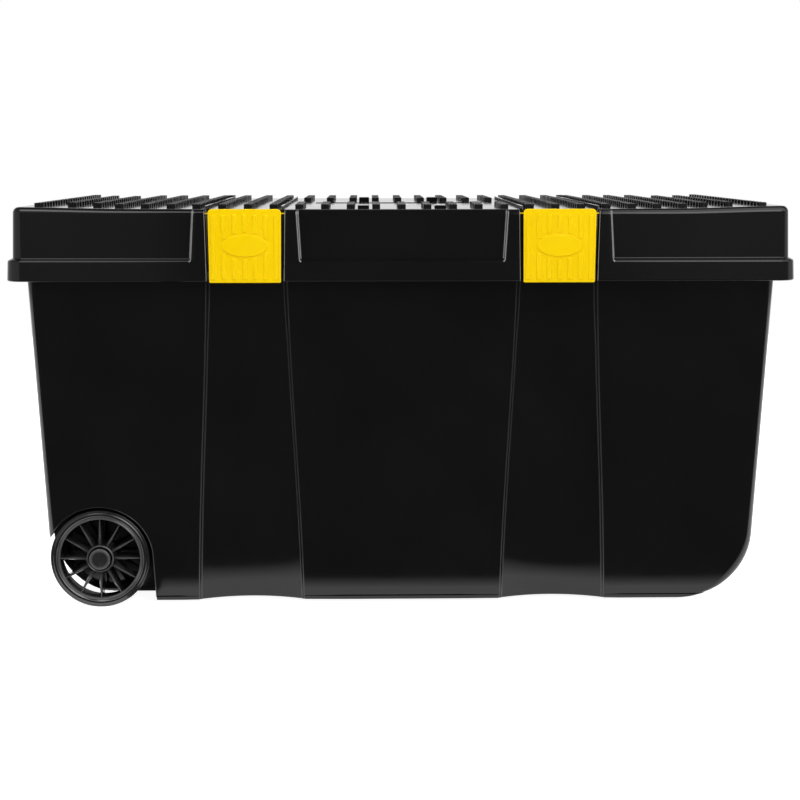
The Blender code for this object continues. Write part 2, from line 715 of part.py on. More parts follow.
def make_lid(axis_empty):
    """Moulded lid: rim, crown, latch bosses, ribs and hinge knuckles."""
    lid = make_object("lid", loft_mesh("lid", [lid_outer_rings()]), PARTS, BLACK_LID)
    cavity = cutter("lid_cavity", loft_mesh("lid_cavity", [lid_cavity_rings()]))
    recess_walls = recesses_mesh("recess_walls", LID_WALL, SHELF_UNDERSIDE)
    combine(cavity, cutter("recess_walls", recess_walls), "DIFFERENCE")
    recesses = recesses_mesh("recesses", 0.0, RIM_BOTTOM - OVERCUT)
    combine(lid, cutter("bosses", bosses_mesh("bosses")), "UNION")
    combine(lid, cutter("ribs", box_mesh("ribs", rib_boxes())), "UNION")
    combine(lid, cavity, "DIFFERENCE")
    combine(lid, cutter("recesses", recesses), "DIFFERENCE")
    combine(lid, cutter("trunnion_holes", trunnion_holes_mesh("trunnion_holes")), "DIFFERENCE")
    combine(lid, cutter("lid_knuckles", lid_knuckles_mesh("lid_knuckles")), "UNION")
    combine(lid, cutter("lid_hinge_holes", hinge_holes_mesh("lid_hinge_holes")), "DIFFERENCE")
    move_origin(lid, (0.0, HINGE_Y, HINGE_Z))
    attach(lid, axis_empty)
    return lid


def attach(obj, parent):
    """Parent an object and keep it where it is."""
    obj.parent = parent
    obj.location = Vector(obj.location) - parent.matrix_world.translation


def latch_half_width(z):
    """Half width of a latch at a height: the recess less its side gap."""
    share = (z - RIM_BOTTOM) / (LID_TOP - RIM_BOTTOM)
    base = RECESS_BASE_HALF_WIDTH - LATCH_SIDE_GAP_BASE
    top = RECESS_TOP_HALF_WIDTH - LATCH_SIDE_GAP_TOP
    return base + share * (top - base)


def latch_outline(centre_x, low_z, high_z, inset, low_radius, high_radius):
    """Front view of a latch: a tapered rectangle with round corners."""
    points = []
    for side, upper, start in ((1, True, 0), (-1, True, 90), (-1, False, 180), (1, False, 270)):
        radius = high_radius if upper else low_radius
        corner_z = high_z - radius if upper else low_z + radius
        corner_x = centre_x + side * (latch_half_width(corner_z) - inset - radius)
        for step in range(4):
            angle = math.radians(start + 30 * step)
            points.append((corner_x + radius * math.cos(angle),
                           corner_z + radius * math.sin(angle)))
    return points


def latch_relief_mesh(name, centre_x, top, base):
    """Bands, bars and the blank oval that stand out of the latch's face."""
    front = RIM_FRONT - LATCH_PROUD
    back = front + LATCH_RELIEF + EMBED
    band_foot = top - LATCH_TOP_BAND
    base_head = base + LATCH_BASE_BAND
    oval_z = top - OVAL_BELOW_TOP
    meshes = []
    inset = LATCH_RELIEF_INSET
    bands = ((band_foot, top - inset, LATCH_BAND_CORNER, LATCH_TOP_CORNER - inset),
             (base + inset, base_head, LATCH_BASE_CORNER - inset, LATCH_BAND_CORNER))
    for low, high, low_radius, high_radius in bands:
        outline = latch_outline(centre_x, low, high, inset, low_radius, high_radius)
        meshes.append(upright_plate(name, outline, front, back))
    oval = []
    for step in range(OVAL_SEGMENTS):
        angle = 2 * math.pi * step / OVAL_SEGMENTS
        oval.append((centre_x + OVAL_LENGTH / 2 * math.cos(angle),
                     oval_z + OVAL_HEIGHT / 2 * math.sin(angle)))
    meshes.append(upright_plate(name, oval, front, back))
    gap = LATCH_BAR_PITCH - LATCH_BAR_WIDTH
    bars_top = band_foot - 0.3 * gap
    bars_base = base_head + 0.3 * gap
    bars = []
    narrow = min(latch_half_width(base), latch_half_width(top))
    bars_each_side = int((narrow - LATCH_BAR_SIDE_MARGIN) / LATCH_BAR_PITCH)
    for index in range(-bars_each_side, bars_each_side + 1):
        offset = index * LATCH_BAR_PITCH
        share = abs(offset) / (OVAL_LENGTH / 2 + OVAL_MARGIN)
        spans = [(bars_base, bars_top)]
        if share < 1:
            clear = (OVAL_HEIGHT / 2 + OVAL_MARGIN) * math.sqrt(1 - share ** 2)
            spans = [(bars_base, oval_z - clear), (oval_z + clear, bars_top)]
        for low, high in spans:
            bars.append(((centre_x + offset - LATCH_BAR_WIDTH / 2, front, low),
                         (centre_x + offset + LATCH_BAR_WIDTH / 2, back, high)))
    meshes.append(box_mesh(name, bars))
    return joined_mesh(name, meshes)


def make_latch(name, centre_x, axis_empty):
    """A draw-down flap with its own trunnions, bars, blank oval and hook."""
    top = LID_TOP - LATCH_TOP_GAP
    base = RIM_BOTTOM - LATCH_BELOW_RIM
    face = RIM_FRONT - LATCH_PROUD + LATCH_RELIEF
    inside = face + LATCH_PLATE
    outline = latch_outline(centre_x, base, top, 0.0, LATCH_BASE_CORNER, LATCH_TOP_CORNER)
    latch = make_object(name, upright_plate(name, outline, face, inside), PARTS, YELLOW_LATCH)

    flanges = []
    for side in (-1, 1):
        foot, head = base + LATCH_FLANGE_MARGIN, top - LATCH_FLANGE_MARGIN
        low_x = side * (latch_half_width(foot) - EMBED / 2)
        high_x = side * (latch_half_width(head) - EMBED / 2)
        deep = CATCH_FRONT - CATCH_GAP
        rings = []
        for x, z in ((low_x, foot), (high_x, head)):
            outer = centre_x + x
            inner = centre_x + x - side * LATCH_PLATE
            rings.append([(outer, inside - EMBED, z), (inner, inside - EMBED, z),
                          (inner, deep, z), (outer, deep, z)])
        flanges.append(rings)
    hook_top = FLANGE_UNDERSIDE - HOOK_DROP
    hook = box_mesh(name + "_hook", [((centre_x - HOOK_HALF_WIDTH, inside - EMBED,
                                       hook_top - HOOK_HEIGHT),
                                      (centre_x + HOOK_HALF_WIDTH, CATCH_FRONT - CATCH_GAP,
                                       hook_top))])
    behind = joined_mesh(name + "_behind", (loft_mesh(name + "_flanges", flanges), hook))
    combine(latch, cutter(name + "_behind", behind), "UNION")
    relief = latch_relief_mesh(name + "_relief", centre_x, top, base)
    combine(latch, cutter(name + "_relief", relief), "UNION")

    reach = RECESS_TOP_HALF_WIDTH + TRUNNION_DEPTH - SEAT_GAP
    rod = rod_mesh(name + "_trunnions", TRUNNION_RADIUS,
                   (centre_x - reach, TRUNNION_Y, TRUNNION_Z),
                   (centre_x + reach, TRUNNION_Y, TRUNNION_Z), "X")
    combine(latch, cutter(name + "_trunnions", rod), "UNION")
    move_origin(latch, (centre_x, TRUNNION_Y, TRUNNION_Z))
    attach(latch, axis_empty)
    return latch


def make_hinge_pin(name, station):
    """A headed steel pin through the three knuckles of one station."""
    half = LID_KNUCKLE_WIDTH / 2 + HINGE_SIDE_GAP + TUB_KNUCKLE_WIDTH
    profile = [(0, half), (HINGE_PIN_RADIUS, half), (HINGE_PIN_RADIUS, -half - SEAT_GAP),
               (HINGE_PIN_HEAD_RADIUS, -half - SEAT_GAP),
               (HINGE_PIN_HEAD_RADIUS, -half - SEAT_GAP - HINGE_PIN_HEAD),
               (0, -half - SEAT_GAP - HINGE_PIN_HEAD)]
    return turned(name, profile, (station, HINGE_Y, HINGE_Z), "X", ROUND_SEGMENTS,
                  PARTS, BRIGHT_STEEL, closed=False)


def ring_profile(inner, outer, start, end):
    """A rectangular ring section, in order down its outer side."""
    return [(inner, end), (outer, end), (outer, start), (inner, start)]


def make_axle():
    half = WELL_HALF_SPACING + AXLE_END
    profile = [(0, half), (AXLE_RADIUS - EMBED, half), (AXLE_RADIUS, half - EMBED),
               (AXLE_RADIUS, EMBED - half), (AXLE_RADIUS - EMBED, -half), (0, -half)]
    return turned("axle", profile, (WHEEL_X, MID_Y, AXLE_Z), "Y", ROUND_SEGMENTS,
                  PARTS, BRIGHT_STEEL, closed=False)


def spokes_mesh(name):
    """Tapered spokes from the hub ring to the rim ring."""
    start_r = HUB_RING_RADIUS - EMBED
    end_r = RIM_RING_RADIUS - RIM_RING_THICKNESS + EMBED
    low = WHEEL_START + RIM_RING_INSET + SPOKE_INSET
    high = WHEEL_END - RIM_RING_INSET - SPOKE_INSET
    stacks = []
    for index in range(SPOKE_COUNT):
        turn = Matrix.Rotation(2 * math.pi * index / SPOKE_COUNT, 3, "Z")
        rings = []
        for radius, width in ((start_r, SPOKE_HUB_WIDTH), (end_r, SPOKE_RIM_WIDTH)):
            half = width / 2
            section = ((-half, radius, low), (half, radius, low),
                       (half, radius, high), (-half, radius, high))
            rings.append([turn @ Vector(point) for point in section])
        stacks.append(rings)
    return loft_mesh(name, stacks)


def make_wheel(end_name, side):
    """One wheel with its tyre, cap, washers and push nut; side is -1 at the front."""
    axis = "-Y" if side < 0 else "Y"
    place = (WHEEL_X, MID_Y + side * WELL_HALF_SPACING, AXLE_Z)
    rim_inner = RIM_RING_RADIUS - RIM_RING_THICKNESS

    wheel = turned("wheel_" + end_name,
                   ring_profile(rim_inner, RIM_RING_RADIUS, WHEEL_START + RIM_RING_INSET,
                                WHEEL_END - RIM_RING_INSET),
                   place, axis, WHEEL_SEGMENTS, PARTS, BLACK_WHEEL)
    web_start = HUB_WEB_END - HUB_WEB
    ring_end = WHEEL_END - HUB_RING_INSET
    ring_start = WHEEL_START + HUB_RING_INSET
    ring_inner = HUB_RING_RADIUS - HUB_RING_WALL
    hub_profile = [(AXLE_HOLE, HUB_END), (HUB_TUBE_RADIUS, HUB_END),
                   (HUB_TUBE_RADIUS, HUB_WEB_END), (ring_inner, HUB_WEB_END),
                   (ring_inner, ring_end), (HUB_RING_RADIUS, ring_end),
                   (HUB_RING_RADIUS, ring_start), (ring_inner, ring_start),
                   (ring_inner, web_start), (HUB_TUBE_RADIUS, web_start),
                   (HUB_TUBE_RADIUS, HUB_START), (AXLE_HOLE, HUB_START)]
    hub = hide_cutter(turned(f"hub_{end_name}", hub_profile, place, axis,
                             ROUND_SEGMENTS, CUTTERS))
    spokes = cutter(f"spokes_{end_name}", spokes_mesh(f"spokes_{end_name}"))
    spokes.location = wheel.location
    spokes.rotation_euler = wheel.rotation_euler
    combine(wheel, spokes, "UNION")
    combine(wheel, hub, "UNION")

    tyre_inner = WHEEL_RADIUS - TYRE_THICKNESS
    shoulder = TYRE_THICKNESS / 4
    tyre_profile = [(tyre_inner, WHEEL_END), (WHEEL_RADIUS - shoulder, WHEEL_END),
                    (WHEEL_RADIUS, WHEEL_END - shoulder), (WHEEL_RADIUS, WHEEL_START + shoulder),
                    (WHEEL_RADIUS - shoulder, WHEEL_START), (tyre_inner, WHEEL_START)]
    turned("tyre_" + end_name, tyre_profile, place, axis, WHEEL_SEGMENTS, PARTS, TYRE_RUBBER)

    for kind, start in (("inner", SEAT_GAP), ("outer", OUTER_WASHER_START)):
        turned(f"washer_{kind}_{end_name}",
               ring_profile(AXLE_HOLE, WASHER_RADIUS, start, start + WASHER_THICKNESS),
               place, axis, ROUND_SEGMENTS, PARTS, BRIGHT_STEEL)

    nut_end = PUSH_NUT_START + PUSH_NUT_THICKNESS
    nut_profile = [(AXLE_HOLE, nut_end), (PUSH_NUT_RADIUS - PUSH_NUT_CROWN, nut_end),
                   (PUSH_NUT_RADIUS, nut_end - PUSH_NUT_CROWN),
                   (PUSH_NUT_RADIUS, PUSH_NUT_START), (AXLE_HOLE, PUSH_NUT_START)]
    turned("push_nut_" + end_name, nut_profile, place, axis, ROUND_SEGMENTS, PARTS, BRIGHT_STEEL)

    cap_outer = HUB_CAP_INNER + HUB_CAP_WALL
    cap_foot = HUB_WEB_END + SEAT_GAP
    inner_top = AXLE_END + HUB_CAP_HEADROOM
    cap_profile = [(0, HUB_CAP_TOP), (0.45 * cap_outer, HUB_CAP_TOP - 0.12 * HUB_CAP_DOME),
                   (0.80 * cap_outer, HUB_CAP_TOP - 0.45 * HUB_CAP_DOME),
                   (cap_outer, HUB_CAP_TOP - HUB_CAP_DOME), (cap_outer, cap_foot),
                   (HUB_CAP_INNER, cap_foot), (HUB_CAP_INNER, inner_top - HUB_CAP_DOME / 2),
                   (HUB_CAP_INNER / 2, inner_top), (0, inner_top)]
    turned("hub_cap_" + end_name, cap_profile, place, axis, ROUND_SEGMENTS,
           PARTS, BLACK_CAP, closed=False)


def make_axis_empty(name, place, parent=None):
    """An empty on a joint's axis."""
    empty = bpy.data.objects.new(name, None)
    PARTS.objects.link(empty)
    empty.empty_display_size = AXIS_MARK_SIZE
    empty.location = place
    if parent:
        empty.parent = parent
        empty.location = Vector(place) - parent.matrix_world.translation
    bpy.context.view_layer.update()
    return empty


def shade_round(obj):
    """Smooth the round faces and keep the edges sharp."""
    if not len(obj.data.polygons):
        return
    obj.data.shade_smooth()
    obj.data.set_sharp_from_angle(angle=math.radians(35))


def build():
    lid_axis = make_axis_empty("lid_axis", (0.0, HINGE_Y, HINGE_Z))
    make_tub()
    make_lid(lid_axis)
    for name, centre_x in (("latch_left", -LATCH_X), ("latch_right", LATCH_X)):
        place = (centre_x, TRUNNION_Y, TRUNNION_Z)
        latch_axis = make_axis_empty(name + "_axis", place, lid_axis)
        make_latch(name, centre_x, latch_axis)
    for name, station in (("hinge_pin_left", -HINGE_STATION_X), ("hinge_pin_middle", 0.0),
                          ("hinge_pin_right", HINGE_STATION_X)):
        make_hinge_pin(name, station)
    make_axle()
    make_wheel("front", -1)
    make_wheel("back", 1)
    for obj in PARTS.objects:
        if obj.type == "MESH":
            shade_round(obj)


clear_scene()
PARTS = new_collection("rolling_trunk")
CUTTERS = new_collection("cutters")
BLACK_TUB = plastic("black_tub_plastic", BLACK, 0.42)
BLACK_LID = plastic("black_lid_plastic", BLACK, 0.38)
BLACK_WHEEL = plastic("black_wheel_plastic", BLACK, 0.35)
BLACK_CAP = plastic("black_cap_plastic", BLACK, 0.30)
YELLOW_LATCH = plastic("yellow_latch_plastic", YELLOW, 0.35)
BRIGHT_STEEL = plastic("zinc_plated_steel", STEEL, 0.30, 1.0)
TYRE_RUBBER = plastic("tyre_rubber", RUBBER, 0.60)
build()
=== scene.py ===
"""Looks of the rolling trunk: fine surfaces, materials, studio light and camera.

Every size is in metres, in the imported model's frame: +X along the length away from
the wheels, +Y from the latches to the hinges, +Z up from the floor.
"""
import itertools
import json
import math

import bmesh
import bpy
from mathutils import Matrix, Vector


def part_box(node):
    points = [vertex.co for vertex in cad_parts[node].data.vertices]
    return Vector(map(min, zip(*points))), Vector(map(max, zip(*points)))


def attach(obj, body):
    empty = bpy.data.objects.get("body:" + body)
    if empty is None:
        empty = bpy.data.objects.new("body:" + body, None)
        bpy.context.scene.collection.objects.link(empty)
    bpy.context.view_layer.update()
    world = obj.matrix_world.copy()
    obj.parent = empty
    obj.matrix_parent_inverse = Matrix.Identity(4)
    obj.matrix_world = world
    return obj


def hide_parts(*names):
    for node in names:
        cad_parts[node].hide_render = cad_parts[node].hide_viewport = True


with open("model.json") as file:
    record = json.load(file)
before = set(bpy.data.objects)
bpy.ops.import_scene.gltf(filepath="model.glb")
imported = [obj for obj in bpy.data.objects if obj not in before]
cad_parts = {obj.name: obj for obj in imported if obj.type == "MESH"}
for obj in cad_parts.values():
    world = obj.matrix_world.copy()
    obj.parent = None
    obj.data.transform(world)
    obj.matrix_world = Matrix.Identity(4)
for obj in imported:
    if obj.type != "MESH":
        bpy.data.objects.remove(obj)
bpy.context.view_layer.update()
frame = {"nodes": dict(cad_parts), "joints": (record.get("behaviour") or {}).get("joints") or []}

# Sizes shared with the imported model
RIM_DRAFT = 0.0012
RIM_BAND = 0.0235
RIM_BOTTOM = 0.4155
RIM_CORNER = 0.0215
RIM_EDGE = 0.4404
RIM_EDGE_FILLET = 0.0028
RIM_FOOT_FILLET = 0.0016
SHELF_TOP = 0.4432
SHELF_FILLET = 0.0012
LID_TOP = 0.504
LID_STEP = 0.0075
LID_DRAFT = 0.035
LID_TOP_FILLET = 0.007
LID_WALL = 0.003
LID_SAG = 0.0018
LID_END_LIFT = (0.0014, 0.0022)
HIGHEST = 0.5098
LATCH_X = 0.1908
BOSS_TOP_HALF = 0.0630
BOSS_BASE_HALF = 0.0658
RECESS_TOP_HALF = 0.0485
RECESS_BASE_HALF = 0.0468
RECESS_DEPTH = 0.0165
RECESS_EDGE_FILLET = 0.0009
RIB_PITCH = 0.0315
RIB_WIDTH = 0.0096
RIB_HEIGHT = 0.005
RIBS_EACH_SIDE = 14
RIB_BREAK_EACH_SIDE = 4
TUB_DRAFT = 0.0437
TUB_CORNER = 0.016
TUB_WALL = 0.0035
END_OVERHANG = 0.0216
SIDE_OVERHANG = 0.020
END_RADIUS = 0.082
BASE_FILLET = 0.005
BASE_LIP_FILLET = 0.0026
FLOOR_GAP = 0.0078
FLANGE_THICKNESS = 0.004
COLUMN_TOP_HALF = 0.0497
COLUMN_BASE_HALF = 0.0670
COLUMN_TOP_DEPTH = 0.004
COLUMN_BASE_DEPTH = 0.015
COLUMN_STEP = 0.003
ARCH_GAP = 0.005
ARCH_TIP_RISE = 0.029
ARCH_FLARE = 0.0045
ARCH_BEAD = 0.0006
WELL_GAP = 0.0045
WELL_EDGE_FILLET = 0.009
CHANNEL_HALF = 0.008
SPOKES = 12

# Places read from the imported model
LID_LOW, LID_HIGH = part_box("lid")
TYRE_LOW, TYRE_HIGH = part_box("tyre_front")
LATCH_LOW, LATCH_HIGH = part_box("latch_left")
RIM_HALF_X = LID_HIGH.x
RIM_FRONT = LID_LOW.y
MID_Y = (TYRE_LOW.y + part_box("tyre_back")[1].y) / 2
RIM_HALF_Y = MID_Y - RIM_FRONT
RIM_BACK = MID_Y + RIM_HALF_Y
RIM_TOP = RIM_BOTTOM + RIM_BAND
WHEEL_X = (TYRE_LOW.x + TYRE_HIGH.x) / 2
WHEEL_Z = (TYRE_LOW.z + TYRE_HIGH.z) / 2
WHEEL_RADIUS = (TYRE_HIGH.z - TYRE_LOW.z) / 2
WHEEL_WIDTH = TYRE_HIGH.y - TYRE_LOW.y
WELL_HALF = MID_Y - TYRE_HIGH.y - WELL_GAP
TUB_HALF_X = RIM_HALF_X - END_OVERHANG
TUB_HALF_Y = RIM_HALF_Y - SIDE_OVERHANG
FLANGE_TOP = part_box("tub")[1].z
FLANGE_UNDER = FLANGE_TOP - FLANGE_THICKNESS
HINGE_Y, HINGE_Z = frame["joints"][0]["pos_m"][1:]


def lerp(a, b, share):
    return a + (b - a) * share


def clamp(value):
    """Hold a value between 0 and 1."""
    return max(0.0, min(1.0, value))


def soft_positive(value, radius):
    """max(0, value) with a parabola of the given radius round the kink."""
    if value <= -radius:
        return 0.0
    if value >= radius:
        return value
    return (value + radius) ** 2 / (4 * radius)


def quarter_inset(rise, radius):
    """How far a quarter-round stands in from its side at a height above its foot."""
    if rise >= radius:
        return 0.0
    return radius - math.sqrt(max(0.0, radius ** 2 - (radius - rise) ** 2))


def ease(share):
    """A smooth step from 0 to 1."""
    share = clamp(share)
    return share * share * (3 - 2 * share)


def full_turn(count):
    """Angles spread evenly round a circle."""
    return [2 * math.pi * step / count for step in range(count)]


def quarter_turn(steps):
    """Angles from 0 to a right angle."""
    return [math.radians(90 * step / steps) for step in range(steps + 1)]


def arc(u, v, radius, start, turn, steps):
    """Points round part of a circle, from a start through a turn, both in degrees."""
    angles = [math.radians(start + turn * step / steps) for step in range(steps + 1)]
    return [(u + radius * math.cos(angle), v + radius * math.sin(angle)) for angle in angles]


def between(start, stop, count):
    """Evenly spaced values between two others, without the two."""
    return [lerp(start, stop, (i + 1) / (count + 1)) for i in range(count)]


def places_along(start, stop, pitch):
    """Places a pitch apart, from a start to just short of a stop."""
    place = start
    while place < stop:
        yield place
        place += pitch


def rounded_line(points, radii, steps=5):
    """Points of a bent line whose inner corners are rounded."""
    line = [Vector(points[0])]
    for before, here, after, radius in zip(points, points[1:], points[2:], radii):
        here = Vector(here)
        back, ahead = (Vector(before) - here).normalized(), (Vector(after) - here).normalized()
        half = back.angle(ahead) / 2
        reach = radius / math.tan(half)
        centre = here + (back + ahead).normalized() * radius / math.sin(half)
        start, stop = here + back * reach - centre, here + ahead * reach - centre
        for step in range(steps + 1):
            line.append(centre + start.lerp(stop, step / steps).normalized() * radius)
    line.append(Vector(points[-1]))
    return line


# Mesh helpers

BOX_CHAMFER = 0.0002
CUBE_LOOP = ((0, 0), (1, 0), (1, 1), (0, 1))


def smooth(mesh, angle):
    """Shade smooth, but keep the edges above an angle in degrees sharp."""
    mesh.shade_smooth()
    mesh.set_sharp_from_angle(angle=math.radians(angle))


def link(name, data):
    """A new object in the scene."""
    obj = bpy.data.objects.new(name, data)
    bpy.context.scene.collection.objects.link(obj)
    return obj


def object_from(bm, name, angle=32):
    """Make a smooth-shaded object whose edges above an angle stay sharp."""
    bmesh.ops.recalc_face_normals(bm, faces=bm.faces)
    mesh = bpy.data.meshes.new(name)
    bm.to_mesh(mesh)
    bm.free()
    smooth(mesh, angle)
    return link(name, mesh)


def apply_modifiers(obj):
    graph = bpy.context.evaluated_depsgraph_get()
    mesh = bpy.data.meshes.new_from_object(obj.evaluated_get(graph))
    obj.modifiers.clear()
    obj.data = mesh


def cut(obj, cutter):
    """Cut an object with another, which is then removed."""
    modifier = obj.modifiers.new("cut", "BOOLEAN")
    modifier.operation = "DIFFERENCE"
    modifier.solver = "EXACT"
    modifier.object = cutter
    apply_modifiers(obj)
    bpy.data.objects.remove(cutter)


def corner_key(axis, side, a, b):
    """A box corner's three ends: side along an axis, a and b along the other two."""
    key = [a, b]
    key.insert(axis, side)
    return tuple(key)


def add_box(bm, low, high, bevel=BOX_CHAMFER):
    """A box between two corners, with its edges chamfered."""
    corners = {}
    for key in itertools.product((0, 1), repeat=3):
        for axis in range(3):
            point = []
            for i in range(3):
                edge = (low, high)[key[i]][i]
                inset = 0.0 if i == axis else bevel
                point.append(edge - inset if key[i] else edge + inset)
            corners[key, axis] = bm.verts.new(point)
        bm.faces.new([corners[key, axis] for axis in range(3)])
    for axis in range(3):
        one, two = [i for i in range(3) if i != axis]
        for side in (0, 1):
            bm.faces.new([corners[corner_key(axis, side, a, b), axis] for a, b in CUBE_LOOP])
        for a, b in CUBE_LOOP:
            start, stop = corner_key(axis, 0, a, b), corner_key(axis, 1, a, b)
            bm.faces.new((corners[start, one], corners[start, two],
                          corners[stop, two], corners[stop, one]))


def add_bar(bm, x, half, y, z, bevel=BOX_CHAMFER):
    """A box of a half width about x, between the two values of y and of z."""
    add_box(bm, (x - half, y[0], z[0]), (x + half, y[1], z[1]), bevel)


def along_x(low, high):
    """Carry an outline in Y and Z to two places along X."""
    return lambda u, v, end: ((low, high)[end], u, v)


def along_y(low, high, centre=0.0):
    """Carry an outline in X and Z, moved to a centre, to two places along Y."""
    return lambda u, v, end: (centre + u, (low, high)[end], v)


def add_prism(bm, outline, place, bevel=0.0, segments=2):
    """A filled outline, carried by place(u, v, end) to its two ends."""
    ends = [[bm.verts.new(place(u, v, end)) for u, v in outline] for end in (0, 1)]
    count = len(outline)
    faces = [bm.faces.new(ends[0]), bm.faces.new(ends[1][::-1])]
    for i in range(count):
        j = (i + 1) % count
        faces.append(bm.faces.new((ends[0][j], ends[0][i], ends[1][i], ends[1][j])))
    bmesh.ops.recalc_face_normals(bm, faces=faces)
    if bevel:
        rims = [*faces[0].edges, *faces[1].edges]
        bmesh.ops.bevel(bm, geom=rims, offset=bevel, segments=segments, affect="EDGES",
                        profile=0.5, clamp_overlap=True)


def add_lathe(bm, profile, centre, side, segments, closed=True):
    """Turn (radius, distance) points about Y; side is -1 for a wheel at the front."""
    rings = []
    for radius, distance in profile:
        y = centre[1] + side * distance
        angles = full_turn(segments) if radius else [0.0]
        rings.append([bm.verts.new((centre[0] + radius * math.cos(angle), y,
                                    centre[2] + radius * math.sin(angle))) for angle in angles])
    pairs = list(zip(rings, rings[1:]))
    if closed:
        pairs.append((rings[-1], rings[0]))
    for a, b in pairs:
        for i in range(segments):
            j = (i + 1) % segments
            if len(a) == 1:
                bm.faces.new((a[0], b[i], b[j]))
            elif len(b) == 1:
                bm.faces.new((a[i], b[0], a[j]))
            else:
                bm.faces.new((a[i], b[i], b[j], a[j]))


def join_loops(bm, loops):
    """Faces between each loop of vertices and the next."""
    for lower, upper in zip(loops, loops[1:]):
        for i in range(len(lower)):
            j = (i + 1) % len(lower)
            bm.faces.new((lower[i], lower[j], upper[j], upper[i]))


def add_tube(bm, points, radius, sides=8):
    """A round bead along a list of points in a plane upright along X."""
    loops = []
    for index, point in enumerate(points):
        before = points[max(index - 1, 0)]
        after = points[min(index + 1, len(points) - 1)]
        along = (after - before).normalized()
        across = along.cross(Vector((0, 1, 0))).normalized()
        other = along.cross(across)
        loops.append([bm.verts.new(point + radius * (math.cos(angle) * across
                                                     + math.sin(angle) * other))
                      for angle in full_turn(sides)])
    join_loops(bm, loops)
    bm.faces.new(loops[0])
    bm.faces.new(loops[-1][::-1])


# Skins: rings of a front chain, an end row, a back chain and an end row

END_ROWS = 14
CORNER_STEPS = 10


def end_row(start, stop):
    """The points between the ends of two chains."""
    shares = [step / END_ROWS for step in range(1, END_ROWS)]
    return [tuple(lerp(a, b, share) for a, b in zip(start, stop)) for share in shares]


def close_ring(front, back):
    """Join a front and a back chain, given left to right, by rows up both ends."""
    return front + end_row(front[-1], back[-1]) + back[::-1] + end_row(back[0], front[0])


def add_skin(bm, rings):
    """Skin a stack of rings and return their vertices."""
    loops = [[bm.verts.new(point) for point in ring] for ring in rings]
    join_loops(bm, loops)
    return loops


def add_cap(bm, loop, level=None):
    """Close a ring with a grid; one at a level of the lid follows the lid's sag."""
    chain = len(loop) // 2 - END_ROWS + 1
    front = loop[:chain]
    right = loop[chain:chain + END_ROWS - 1]
    back = loop[chain + END_ROWS - 1:2 * chain + END_ROWS - 1][::-1]
    left = loop[2 * chain + END_ROWS - 1:][::-1]
    rows = [front]
    for step in range(1, END_ROWS):
        row = [left[step - 1]]
        for i in range(1, chain - 1):
            point = front[i].co.lerp(back[i].co, step / END_ROWS)
            if level:
                point.z = level + lid_dip(point.x, point.y, level)
            row.append(bm.verts.new(point))
        row.append(right[step - 1])
        rows.append(row)
    rows.append(back)
    for a, b in zip(rows, rows[1:]):
        for i in range(chain - 1):
            bm.faces.new((a[i], a[i + 1], b[i + 1], b[i]))


def corner_points(half_x, radius, sign):
    """Plan points of a front corner, as (x, inset), from left to right."""
    points = [(-half_x + radius * (1 - math.cos(angle)), radius * (1 - math.sin(angle)))
              for angle in quarter_turn(CORNER_STEPS)]
    return [(-x, inset) for x, inset in reversed(points)] if sign > 0 else points


def front_chain(half_x, radius, local, flats, crown=0.0):
    """(x, inset) from corner to corner, with the local points at both latches."""
    points = [(x, inset + crown) for x, inset in corner_points(half_x, radius, -1)]
    last = points[-1][0]
    for centre in (-LATCH_X, LATCH_X):
        points += [(x, crown) for x in between(last, centre + local[0][0], flats)]
        points += [(centre + x, inset) for x, inset in local]
        last = centre + local[-1][0]
    far = [(x, inset + crown) for x, inset in corner_points(half_x, radius, 1)]
    return points + [(x, crown) for x in between(last, far[0][0], flats)] + far


# Tub

OVERCUT = 0.02
STEP_WALL = 0.0008
EDGE_ROUND = 0.0004
STEP_STATIONS = (-0.0004, 0.0, 0.0004, 0.0008, 0.0012)
ARC_STATIONS = 14
TUB_FLATS = 4
LEDGE_LOW_WIDTH = 0.0030
LEDGE_HIGH_WIDTH = 0.0042
LEDGE_CHANGE_START = 0.33
LEDGE_CHANGE_LENGTH = 0.06
TUCK_TOP = 0.0175
TUCK_FOOT = 0.0058
TUCK_DEPTH = 0.0014
TUCK_EDGE = 0.003
LIP_TOP = 0.0049
GROOVE_DEPTH = 0.0008
LIP_SHARES = (0.0, 0.3, 0.5, 0.7, 1.0)
TUCK_SHARES = (0.25, 0.5, 0.75, 1.0)
INNER_RISES = (0.006, 0.011)
SIDE_LEVELS = 16
FLANGE_CLEARANCE = 0.0015
FLANGE_NOTCH = 0.0042
WELL_STEPS = 48
FOOT_STEPS = 6
EDGE_CUT_ASIDE = 0.001
EDGE_CUT_BELOW = 0.004


def tub_level(z):
    """0 at the tub's base, 1 under its flange."""
    return clamp((z - FLOOR_GAP) / (FLANGE_UNDER - FLOOR_GAP))


def column_half(z):
    """Half width of a column, which narrows upwards along a soft S."""
    level = tub_level(z)
    spread = lerp(1 - level, 0.5 + 0.5 * math.cos(math.pi * level), 0.5)
    return lerp(COLUMN_TOP_HALF, COLUMN_BASE_HALF, spread)


def ledge_width(z):
    """Width between the two small steps of a column's edge."""
    return lerp(LEDGE_LOW_WIDTH, LEDGE_HIGH_WIDTH, ease((z - LEDGE_CHANGE_START) / LEDGE_CHANGE_LENGTH))


